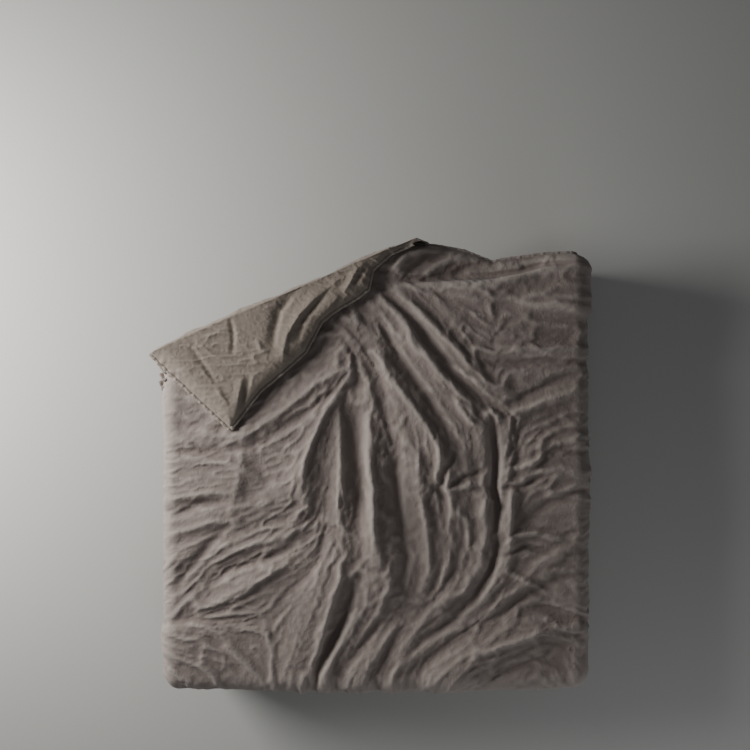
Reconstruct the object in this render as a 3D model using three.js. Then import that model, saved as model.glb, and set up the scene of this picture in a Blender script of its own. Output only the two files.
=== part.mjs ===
// A duvet in a buttoned cover, lying on a mattress with one top corner turned back.
//
// Millimetres, +Z up, +Y towards the head of the bed, +X to the right seen from its foot.
// The origin is the centre of the mattress top, which is the face that carries the duvet.
//
// The duvet is described flat first. u runs across the cloth, v along it towards the head, and
// h is the height above the mattress side of the cloth. drape() then lays a flat point over the
// mattress, so every layer is the same few numbers at another height. The turned corner is
// built flat as well, in a group of its own that is turned over about the fold line.
import * as THREE from "three";

// ---------------------------------------------------------------- driving dimensions
const MATTRESS_WIDTH = 1600;
const MATTRESS_LENGTH = 2000;
const MATTRESS_EDGE = 30; // radius along the mattress' top edges

const LEFT_OVERHANG = 100; // flat cloth past each edge of the mattress
const RIGHT_OVERHANG = 300;
const FOOT_OVERHANG = 280;
const HEAD_BARE = 285; // mattress left bare between the head hem and its end

const CLOTH = 1.5; // cover fabric, thickened so that it makes a solid
const LOFT = 58; // clear height inside the cover
const CLEARANCE = 0.5; // between neighbouring layers and pieces

const SEAM_WIDTH = 10; // flat seam around the cover
const SEAM_THICKNESS = 5;
const SEAM_TAPER = 22; // the face panel comes down to the seam over this width

const PLACKET_WIDTH = 40; // the buttoned strips along the foot hem
const PLACKET_CLOTH = 2;
const BUTTON_COUNT = 8;
const BUTTON_DIAMETER = 15;
const BUTTON_THICKNESS = 3.2;
const BUTTON_HOLE = 2;
const BUTTON_END_MARGIN = 190; // from each side hem to the first button

const POCKET_COLUMNS = 5; // stitched boxes of the insert
const POCKET_ROWS = 5;
const POCKET_SPARE = 8; // from the top of a box to the face panel
const POCKET_EDGE = 12; // at a stitched line
const POCKET_SHOULDER = 0.14; // share of a box over which it rises from the stitched line

const FOLD_ANGLE = (23.4 * Math.PI) / 180; // of the fold line to the X axis
const FOLD_OVERHANG = 60; // the turned side hem lies this far past the mattress' edge
const FOLD_DROP = 443; // from the head hem down to where the fold starts
const FOLD_BULGE = 16; // the pressed fold reaches this far past its line
const FOLD_GAP = 0.4; // from the fold line to each layer that ends there

const TIE_WIDTH = 9; // the tapes that hold the insert's corners
const TIE_CLOTH = 1.5;
const TIE_INSET = 70; // from the corner to the tape
const TIE_SLACK = 10; // from the tape's end to the insert

const BEND_STEPS = 5; // flat strips that stand in for a quarter turn

// ---------------------------------------------------------------- values that follow
const LEFT = -MATTRESS_WIDTH / 2 - LEFT_OVERHANG;
const RIGHT = MATTRESS_WIDTH / 2 + RIGHT_OVERHANG;
const FOOT = -MATTRESS_LENGTH / 2 - FOOT_OVERHANG;
const HEAD = MATTRESS_LENGTH / 2 - HEAD_BARE;
const BEND_X = MATTRESS_WIDTH / 2 - MATTRESS_EDGE; // where the cloth starts to turn down
const BEND_Y = MATTRESS_LENGTH / 2 - MATTRESS_EDGE;
const NEUTRAL = MATTRESS_EDGE + LOFT / 2; // radius at which a turn keeps the cloth's length
const QUARTER = (NEUTRAL * Math.PI) / 2;
const FACE = LOFT + CLOTH; // top of the face panel
const POCKET_BASE = CLOTH + CLEARANCE;
const POCKET_LOFT = LOFT - POCKET_SPARE;
const FOLD_HEIGHT = FACE + CLEARANCE; // the fold's axis lies between the two layers
const FOLD_SLOPE = Math.tan(FOLD_ANGLE);
const FOLD_LEFT = { u: -MATTRESS_WIDTH / 2 - FOLD_OVERHANG, v: HEAD - FOLD_DROP };
const FOLD_END = FOLD_LEFT.u + (HEAD - FOLD_LEFT.v) / FOLD_SLOPE; // where it meets the head hem

const foldLine = (u) => FOLD_LEFT.v + (u - FOLD_LEFT.u) * FOLD_SLOPE;
const alongGap = FOLD_GAP / Math.cos(FOLD_ANGLE);
const cornerStart = (u) => foldLine(u) + alongGap;
const between = (low, high, share) => low + (high - low) * share;
const clampShare = (x) => Math.min(Math.max(x, 0), 1);

// ---------------------------------------------------------------- from flat cloth to the bed
// Cloth that has run s past the start of a turn, at height h: how far out and how far up it is.
function turn(s, h) {
  const angle = Math.min(s, QUARTER) / NEUTRAL;
  const hanging = Math.max(s - QUARTER, 0);
  const radius = MATTRESS_EDGE + h;
  return { out: radius * Math.sin(angle), up: radius * Math.cos(angle) - MATTRESS_EDGE - hanging };
}

// Past both edges, at a foot corner, the cloth fans round the corner of the mattress.
function drape(u, v, h) {
  const a = Math.max(Math.abs(u) - BEND_X, 0);
  const b = Math.max(-v - BEND_Y, 0);
  if (a === 0 && b === 0) return new THREE.Vector3(u, v, h);
  const { out, up } = turn(Math.max(a, b), h);
  const fan = Math.atan2(b, a);
  const inner = Math.min(Math.max(u, -BEND_X), BEND_X);
  return new THREE.Vector3(
    inner + Math.sign(u) * out * Math.cos(fan),
    Math.max(v, -BEND_Y) - out * Math.sin(fan),
    up,
  );
}

const lieFlat = (u, v, h) => new THREE.Vector3(u, v, h);

// How far up the bed the lower layers run at u: to the head seam, or to the fold line over the
// outermost point of the cloth there.
function rootTop(u) {
  return Math.min(HEAD - SEAM_WIDTH, foldLine(drape(u, 0, FACE).x) - alongGap);
}

// A closed solid over a patch of cloth. across lists the values of u, along(u) the values of v
// there, and lower and upper give the two faces' heights at a point.
function slab(across, along, lower, upper, place = drape) {
  const columns = across.map((u) => along(u).map((v) => [u, v]));
  const rows = columns[0].length;
  const positions = [];
  for (const height of [lower, upper]) {
    for (const column of columns) {
      for (const [u, v] of column) positions.push(...place(u, v, height(u, v)).toArray());
    }
  }
  const layer = columns.length * rows;
  const at = (i, j, top) => (top ? layer : 0) + i * rows + j;
  const index = [];
  const quad = (a, b, c, d) => index.push(a, b, c, a, c, d);
  for (let i = 0; i < columns.length - 1; i++) {
    for (let j = 0; j < rows - 1; j++) {
      quad(at(i, j, 1), at(i + 1, j, 1), at(i + 1, j + 1, 1), at(i, j + 1, 1));
      index.push(at(i, j, 0), at(i + 1, j + 1, 0), at(i + 1, j, 0));
      index.push(at(i, j, 0), at(i, j + 1, 0), at(i + 1, j + 1, 0));
    }
    quad(at(i, 0, 0), at(i + 1, 0, 0), at(i + 1, 0, 1), at(i, 0, 1));
    quad(at(i + 1, rows - 1, 0), at(i, rows - 1, 0), at(i, rows - 1, 1), at(i + 1, rows - 1, 1));
  }
  const last = columns.length - 1;
  for (let j = 0; j < rows - 1; j++) {
    quad(at(0, j + 1, 0), at(0, j, 0), at(0, j, 1), at(0, j + 1, 1));
    quad(at(last, j, 0), at(last, j + 1, 0), at(last, j + 1, 1), at(last, j, 1));
  }
  const geometry = new THREE.BufferGeometry();
  geometry.setAttribute("position", new THREE.Float32BufferAttribute(positions, 3));
  geometry.setIndex(index);
  geometry.computeVertexNormals();
  return geometry;
}

// ---------------------------------------------------------------- the insert's stitched lines
const insertLeft = LEFT + SEAM_WIDTH + SEAM_TAPER;
const insertRight = RIGHT - SEAM_WIDTH - SEAM_TAPER;
const insertFoot = FOOT + PLACKET_WIDTH + SEAM_TAPER;
const insertHead = HEAD - SEAM_WIDTH - SEAM_TAPER;
const columnEdge = (k) => between(insertLeft, insertRight, k / POCKET_COLUMNS);
const rowEdge = (k) => between(insertFoot, insertHead, k / POCKET_ROWS);
const PUFF_SHARES = [0, POCKET_SHOULDER, 0.5, 1 - POCKET_SHOULDER, 1];

// ---------------------------------------------------------------- stations
// Where a turn is cut into flat strips, and where the hanging boxes have their corners. Every
// layer takes them all, so no layer cuts a corner that its neighbour goes round.
function bendStations(start) {
  return Array.from({ length: BEND_STEPS + 1 }, (_, k) => start + (QUARTER * k) / BEND_STEPS);
}
const puffs = (edge, count) => Array.from({ length: count }, (_, k) => k)
  .flatMap((k) => PUFF_SHARES.map((share) => between(edge(k), edge(k + 1), share)));
const BENDS_U = [
  ...bendStations(BEND_X),
  ...bendStations(BEND_X).map((s) => -s),
  ...puffs(columnEdge, POCKET_COLUMNS).filter((u) => Math.abs(u) > BEND_X),
];
const BENDS_V = [
  ...bendStations(BEND_Y).map((s) => -s),
  ...puffs(rowEdge, POCKET_ROWS).filter((v) => v < -BEND_Y),
];

// The values in order, with the bend stations that lie between the first and the last.
function stations(values, bends) {
  const low = Math.min(...values);
  const high = Math.max(...values);
  const inside = bends.filter((s) => s > low && s < high);
  const sorted = [...values, ...inside].sort((a, b) => a - b);
  return sorted.filter((s, k) => k === 0 || s - sorted[k - 1] > 2 * CLEARANCE || values.includes(s));
}

// ---------------------------------------------------------------- heights
// Comes down to the seam near an edge that is this far away.
const seamShare = (distance) => clampShare((distance - SEAM_WIDTH) / SEAM_TAPER);

function faceHeight(u, v) {
  const share = Math.min(
    seamShare(u - LEFT),
    seamShare(RIGHT - u),
    u > FOLD_END ? seamShare(HEAD - v) : 1,
    clampShare((v - FOOT - PLACKET_WIDTH) / SEAM_TAPER),
  );
  return between(SEAM_THICKNESS, LOFT, share);
}

function cornerFaceHeight(u, v) {
  const share = Math.min(seamShare(u - FOLD_LEFT.u), seamShare(HEAD - v));
  return between(SEAM_THICKNESS, LOFT, share);
}

// ---------------------------------------------------------------- materials
const cotton = (color) => new THREE.MeshStandardMaterial({ color, roughness: 0.92, metalness: 0 });
const FACE_COTTON = cotton(0x8a7d78);
const REVERSE_COTTON = cotton(0x8c8174);
const SHELL_COTTON = cotton(0xe9e5dc);
const TAPE = cotton(0x7d716c);
const BUTTON = new THREE.MeshStandardMaterial({ color: 0x6f655d, roughness: 0.35, metalness: 0 });

const mesh = (name, geometry, material) => {
  const made = new THREE.Mesh(geometry, material);
  made.name = name;
  return made;
};

// ---------------------------------------------------------------- the cover on the bed
const panelLeft = LEFT + SEAM_WIDTH + CLEARANCE;
const panelRight = RIGHT - SEAM_WIDTH - CLEARANCE;
const panelFoot = FOOT + PLACKET_WIDTH + CLEARANCE;
const panelAcross = stations(
  [panelLeft, LEFT + SEAM_WIDTH + SEAM_TAPER, FOLD_END, FOLD_END + CLOTH * 2,
    RIGHT - SEAM_WIDTH - SEAM_TAPER, panelRight],
  BENDS_U,
);

// Across the fold the panel ends on the fold line, and past it the same stations run to the hem.
function panelAlong(u) {
  const lower = stations([panelFoot, panelFoot + SEAM_TAPER, -BEND_Y], BENDS_V);
  const top = u > FOLD_END ? HEAD - SEAM_WIDTH - CLEARANCE : rootTop(u);
  return [...lower, Math.min(insertHead, top - SEAM_TAPER), top];
}

const coverFace = slab(panelAcross, panelAlong, faceHeight, (u, v) => faceHeight(u, v) + CLOTH);
const coverReverse = slab(panelAcross, panelAlong, () => 0, () => CLOTH);

const seamLower = () => 0;
const seamUpper = () => SEAM_THICKNESS;
const seamFoot = FOOT + PLACKET_WIDTH + CLEARANCE;

function sideSeam(outer, inner, top) {
  const along = () => stations([seamFoot, -BEND_Y, top], BENDS_V);
  return slab([outer, inner].sort((a, b) => a - b), along, seamLower, seamUpper);
}

// The head seam runs from the end of the fold to the right hem, and goes down over the edge.
function headSeam() {
  const across = stations([FOLD_END + SEAM_WIDTH, RIGHT - SEAM_WIDTH - CLEARANCE], BENDS_U);
  const along = () => [HEAD - SEAM_WIDTH + CLEARANCE, HEAD];
  return slab(across, along, seamLower, seamUpper);
}

// ---------------------------------------------------------------- the buttoned foot hem
const placketBackTop = PLACKET_CLOTH;
const buttonBase = placketBackTop + CLEARANCE;
const placketFaceBase = buttonBase + BUTTON_THICKNESS + CLEARANCE;

function placket(base) {
  const across = stations([LEFT, 0, RIGHT], BENDS_U);
  return slab(across, () => [FOOT, FOOT + PLACKET_WIDTH], () => base, () => base + PLACKET_CLOTH);
}

// A round button with four thread holes, lying between the two strips of the hem.
function button() {
  const outline = new THREE.Shape().absarc(0, 0, BUTTON_DIAMETER / 2, 0, Math.PI * 2);
  for (const [x, y] of [[1, 1], [-1, 1], [-1, -1], [1, -1]]) {
    const hole = new THREE.Path();
    hole.absarc(x * BUTTON_HOLE, y * BUTTON_HOLE, BUTTON_HOLE / 2, 0, Math.PI * 2, true);
    outline.holes.push(hole);
  }
  return new THREE.ExtrudeGeometry(outline, {
    depth: BUTTON_THICKNESS,
    bevelEnabled: false,
    curveSegments: 8,
  });
}

function buttons() {
  const first = -BEND_X + BUTTON_END_MARGIN;
  const last = BEND_X - BUTTON_END_MARGIN;
  return Array.from({ length: BUTTON_COUNT }, (_, k) => {
    const u = between(first, last, k / (BUTTON_COUNT - 1));
    const made = mesh(`button_${k + 1}`, button(), BUTTON);
    made.position.copy(drape(u, FOOT + PLACKET_WIDTH / 2, buttonBase));
    made.rotation.x = Math.PI / 2; // the hem hangs, so the button's axis points out along -Y
    return made;
  });
}

// ---------------------------------------------------------------- the insert's stitched boxes
const rise = (share) => clampShare(Math.min(share, 1 - share) / POCKET_SHOULDER);

// One box between u0 and u1, and between the lines low(u) and high(u).
function pocket(u0, u1, low, high, place = drape) {
  const across = stations(PUFF_SHARES.map((p) => between(u0, u1, p)), place === drape ? BENDS_U : []);
  const bends = place === drape ? BENDS_V : [];
  const along = (u) => stations(PUFF_SHARES.map((p) => between(low(u), high(u), p)), bends);
  const shareU = (u) => (u - u0) / (u1 - u0);
  const shareV = (u, v) => (v - low(u)) / (high(u) - low(u));
  const top = (u, v) => between(POCKET_EDGE, POCKET_LOFT, rise(shareU(u)) * rise(shareV(u, v)));
  return slab(across, along, () => POCKET_BASE, top, place);
}

function bedPockets() {
  const made = [];
  for (let c = 0; c < POCKET_COLUMNS; c++) {
    const u0 = columnEdge(c) + (c ? CLEARANCE : 0);
    const u1 = columnEdge(c + 1);
    for (let r = 0; r < POCKET_ROWS; r++) {
      const v0 = rowEdge(r) + CLEARANCE;
      const topOfRow = rowEdge(r + 1);
      // The column's last box before the fold runs up to it and takes in what is left over.
      const nextCut = r + 1 < POCKET_ROWS && rootTop(u1) < rowEdge(r + 2) && rootTop(u0) < topOfRow;
      if (rootTop(u0) <= v0) continue;
      const high = (u) => Math.min(nextCut ? rowEdge(r + 2) : topOfRow, rootTop(u));
      made.push(mesh(`pocket_row${r + 1}_column${c + 1}`, pocket(u0, u1, () => v0, high), SHELL_COTTON));
    }
  }
  return made;
}

// ---------------------------------------------------------------- corner tapes
// A tape from the seam and the insert's tab that it is knotted to, one above the other.
function tapes(name, outer, inner, v, place = drape) {
  const inward = Math.sign(inner - outer);
  const across = [outer + inward * CLEARANCE, inner - inward * TIE_SLACK].sort((a, b) => a - b);
  const along = () => [v, v + TIE_WIDTH];
  const layer = (base) => slab(across, along, () => base, () => base + TIE_CLOTH, place);
  const low = POCKET_BASE;
  return [
    mesh(`corner_tie_${name}`, layer(low), TAPE),
    mesh(`insert_tab_${name}`, layer(low + TIE_CLOTH + CLEARANCE), TAPE),
  ];
}

// ---------------------------------------------------------------- the turned corner, built flat
function cornerPieces() {
  const left = FOLD_LEFT.u;
  const head = HEAD - SEAM_WIDTH - CLEARANCE;
  const tip = FOLD_LEFT.u + (insertHead - SEAM_WIDTH - FOLD_LEFT.v) / FOLD_SLOPE; // short of a sliver
  const inner = left + SEAM_WIDTH + CLEARANCE; // where the panels start beside the side seam
  const across = [inner, left + SEAM_WIDTH + SEAM_TAPER, between(left, tip, 0.5), tip];
  const along = (u) => [cornerStart(u), insertHead, head];
  const face = (u, v) => cornerFaceHeight(u, v);
  const side = () => [cornerStart(left + SEAM_WIDTH), HEAD];
  const edges = [left + SEAM_WIDTH + SEAM_TAPER, columnEdge(1), columnEdge(2)];
  const lastEdge = tip - SEAM_WIDTH;
  const pieces = [
    mesh("corner_cover_face",
      slab(across, along, face, (u, v) => face(u, v) + CLOTH, lieFlat), FACE_COTTON),
    mesh("corner_cover_reverse", slab(across, along, () => 0, () => CLOTH, lieFlat), REVERSE_COTTON),
    mesh("corner_seam_side",
      slab([left, left + SEAM_WIDTH], side, seamLower, seamUpper, lieFlat), FACE_COTTON),
    mesh("corner_seam_head",
      slab([inner, tip], () => [head + CLEARANCE, HEAD], seamLower, seamUpper, lieFlat), FACE_COTTON),
  ];
  for (let c = 0; c < 3; c++) {
    const u0 = edges[c] + CLEARANCE;
    const u1 = c < 2 ? edges[c + 1] : lastEdge;
    if (u1 - u0 < SEAM_TAPER) continue;
    const box = pocket(u0, u1, cornerStart, () => insertHead, lieFlat);
    pieces.push(mesh(`corner_pocket_${c + 1}`, box, SHELL_COTTON));
  }
  pieces.push(...tapes("turned", left + SEAM_WIDTH, edges[0], HEAD - TIE_INSET, lieFlat));
  return pieces;
}

// ---------------------------------------------------------------- the bend at the fold
const foldAxis = new THREE.Vector3(Math.cos(FOLD_ANGLE), Math.sin(FOLD_ANGLE), 0);
const foldPoint = new THREE.Vector3(FOLD_LEFT.u, FOLD_LEFT.v, FOLD_HEIGHT);

// The pressed bend of the cloth, which closes the two layers' open ends.
function foldRoll() {
  const half = new THREE.Shape();
  half.absellipse(0, 0, FOLD_BULGE, FOLD_HEIGHT, -Math.PI / 2, Math.PI / 2);
  const length = (FOLD_END - FOLD_LEFT.u) / Math.cos(FOLD_ANGLE);
  const made = mesh("fold_roll",
    new THREE.ExtrudeGeometry(half, { depth: length, bevelEnabled: false, curveSegments: 10 }),
    REVERSE_COTTON);
  const out = new THREE.Vector3(-foldAxis.y, foldAxis.x, 0);
  const up = new THREE.Vector3(0, 0, 1);
  made.quaternion.setFromRotationMatrix(new THREE.Matrix4().makeBasis(out, up, foldAxis));
  made.position.copy(foldPoint).addScaledVector(out, FOLD_GAP / 2);
  return made;
}

// ---------------------------------------------------------------- assembly
const duvet = new THREE.Group();
duvet.add(
  mesh("cover_face", coverFace, FACE_COTTON),
  mesh("cover_reverse", coverReverse, REVERSE_COTTON),
  mesh("seam_left", sideSeam(LEFT, LEFT + SEAM_WIDTH, rootTop(LEFT)), FACE_COTTON),
  mesh("seam_right", sideSeam(RIGHT, RIGHT - SEAM_WIDTH, HEAD), FACE_COTTON),
  mesh("seam_head", headSeam(), FACE_COTTON),
  mesh("placket_back", placket(0), REVERSE_COTTON),
  mesh("placket_face", placket(placketFaceBase), FACE_COTTON),
  ...buttons(),
  ...bedPockets(),
  ...tapes("head_right", RIGHT - SEAM_WIDTH, insertRight, HEAD - TIE_INSET),
  ...tapes("foot_right", RIGHT - SEAM_WIDTH, insertRight, insertFoot + TIE_INSET),
  ...tapes("foot_left", LEFT + SEAM_WIDTH, insertLeft, insertFoot + TIE_INSET),
  foldRoll(),
);

// The group's own origin is on the fold line, so turning it over folds the corner back.
const turnedCorner = new THREE.Group();
turnedCorner.position.copy(foldPoint);
turnedCorner.quaternion.setFromAxisAngle(foldAxis, Math.PI);
for (const piece of cornerPieces()) {
  piece.position.sub(foldPoint);
  turnedCorner.add(piece);
}
duvet.add(turnedCorner);

export default duvet;
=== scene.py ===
# %% [markdown]
# # A duvet on a bed, with one corner turned back
#
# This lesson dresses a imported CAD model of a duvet. The CAD part says where everything is and how
# the turned corner is hinged. Here the plain panels become creased cotton: the cloth is laid out
# flat, its folds are drawn, it is bent over the mattress, and a cloth simulation settles it.
#
# Lengths are metres, +Z is up, +Y runs towards the head of the bed, and z = 0 is the mattress' top.

import math

import bpy
import numpy as np
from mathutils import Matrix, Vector


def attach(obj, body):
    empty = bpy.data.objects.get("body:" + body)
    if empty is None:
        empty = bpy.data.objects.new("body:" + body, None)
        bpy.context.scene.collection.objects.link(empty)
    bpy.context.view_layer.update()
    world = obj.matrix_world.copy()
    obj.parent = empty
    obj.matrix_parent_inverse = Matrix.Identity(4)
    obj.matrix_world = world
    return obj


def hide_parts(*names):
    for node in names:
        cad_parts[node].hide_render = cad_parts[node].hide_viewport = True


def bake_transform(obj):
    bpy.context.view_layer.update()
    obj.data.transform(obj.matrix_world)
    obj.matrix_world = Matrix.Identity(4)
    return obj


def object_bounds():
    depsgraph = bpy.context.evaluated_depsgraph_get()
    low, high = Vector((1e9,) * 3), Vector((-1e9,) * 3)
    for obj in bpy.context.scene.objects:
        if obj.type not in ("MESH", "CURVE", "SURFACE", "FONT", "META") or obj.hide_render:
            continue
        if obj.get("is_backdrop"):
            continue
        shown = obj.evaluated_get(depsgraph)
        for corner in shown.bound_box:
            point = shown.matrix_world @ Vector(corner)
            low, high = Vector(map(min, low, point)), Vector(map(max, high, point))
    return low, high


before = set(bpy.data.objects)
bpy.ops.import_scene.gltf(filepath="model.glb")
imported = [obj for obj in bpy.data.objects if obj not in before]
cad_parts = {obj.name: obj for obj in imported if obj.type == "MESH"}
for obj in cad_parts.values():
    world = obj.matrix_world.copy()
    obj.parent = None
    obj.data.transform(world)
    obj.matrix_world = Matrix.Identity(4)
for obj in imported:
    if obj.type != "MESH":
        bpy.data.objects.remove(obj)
cad_low, cad_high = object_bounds()
print("CAD box", [round(x, 3) for x in cad_low], [round(x, 3) for x in cad_high])

# %% [markdown]
# ## Sizes of the flat duvet
#
# A real duvet is sewn flat, so it is described flat first. u runs across the cloth and v along it,
# with the same origin as the mattress. The mattress' edge decides where the cloth turns down.

# %% Flat sizes
LEFT, RIGHT = -0.900, 1.100  # side hems
FOOT, HEAD = -1.280, 0.715  # foot hem and head hem
BEND_X, BEND_Y = 0.770, 0.970  # where the cloth starts to turn down
EDGE = 0.030  # radius along the mattress' top edges
NEUTRAL = 0.059  # a turn at this radius keeps the cloth's length
QUARTER = NEUTRAL * math.pi / 2
LOFT = 0.058  # thickness of the filled duvet
SEAM = 0.010  # width of the flat seams
PLACKET = 0.040  # width of the buttoned foot hem

FOLD_U, FOLD_V = -0.860, 0.272  # where the fold line meets the side hem
FOLD_ANGLE = math.radians(23.4)
ALONG = np.array([math.cos(FOLD_ANGLE), math.sin(FOLD_ANGLE)])  # along the fold line
OUT = np.array([-ALONG[1], ALONG[0]])  # away from the spread duvet
FOLD_POINT = np.array([FOLD_U, FOLD_V])
FOLD_Z = 0.060  # height of the fold line, between the two layers
FOLD_END = FOLD_U + (HEAD - FOLD_V) / math.tan(FOLD_ANGLE)
HEAD_LINE = np.array([  # u and v along the spread head hem
    (0.14, 0.712), (0.243, 0.704), (0.351, 0.684), (0.463, 0.640), (0.50, 0.650), (0.578, 0.660),
    (0.667, 0.673), (0.782, 0.677), (0.90, 0.664), (1.10, 0.640),
])


def head_v(u):
    """v of the head hem's edge at u: sewn straight, it lies pulled in where the cloth is gathered."""
    return np.interp(u, HEAD_LINE[:, 0], HEAD_LINE[:, 1])


def fold_v(u):
    """v of the fold line at u."""
    return FOLD_V + (u - FOLD_U) * math.tan(FOLD_ANGLE)


def smooth(x):
    """0 below 0, 1 above 1, and an S between."""
    x = np.clip(x, 0, 1)
    return x * x * (3 - 2 * x)


print("flat duvet", RIGHT - LEFT, "by", HEAD - FOOT, "m; the fold is", round(FOLD_END - FOLD_U, 3), "m wide")

# %% [markdown]
# ## Laying the cloth over the mattress
#
# A point of the flat cloth at height h goes over the mattress' edge like a belt over a roller, and
# hangs from there. At a foot corner the cloth fans round. Hanging cloth ripples more the lower it
# gets, and every layer takes the same ripple, so no layer cuts its neighbour.


# %% Lay flat points over the mattress
def waves(x, seed, lengths, sizes):
    """A sum of sine waves with fixed random phases."""
    phases = np.random.default_rng(seed).uniform(0, 2 * math.pi, len(lengths))
    return sum(s * np.sin(2 * math.pi * x / l + p) for l, s, p in zip(lengths, sizes, phases))


def lay(u, v, h):
    """Points over the mattress, for arrays u, v and height h above the cloth's underside."""
    u, v, h = np.broadcast_arrays(np.asarray(u, float), v, h)
    a = np.maximum(np.abs(u) - BEND_X, 0)
    b = np.maximum(-v - BEND_Y, 0)
    run = (a**8 + b**8) ** 0.125
    fan = np.arctan2(b, np.maximum(a, 1e-9))
    angle = np.minimum(run, QUARTER) / NEUTRAL
    hanging = np.maximum(run - QUARTER, 0)
    radius = EDGE + h
    side = np.sign(u)
    round_corner = (v * np.cos(fan) + u * np.sin(fan)) * np.where(side < 0, 1, -1)
    ripple = waves(round_corner, 3, (0.41, 0.23, 0.14, 0.083), (0.010, 0.008, 0.006, 0.003))
    ripple = ripple * (1 - 0.9 * np.abs(np.sin(2 * fan)) ** 0.5)  # calm where the cloth fans round a corner
    out = radius * np.sin(angle) + ripple * smooth(hanging / 0.20)
    up = radius * np.cos(angle) - EDGE - hanging * 0.985
    x = np.clip(u, -BEND_X, BEND_X) + side * out * np.cos(fan)
    y = np.maximum(v, -BEND_Y) - out * np.sin(fan)
    flat = run <= 1e-9
    return np.stack([np.where(flat, u, x), np.where(flat, v, y), np.where(flat, h, up)], -1)


print("right hem hangs to z =", round(float(lay(RIGHT, 0.0, 0.0)[2]), 3))
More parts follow.
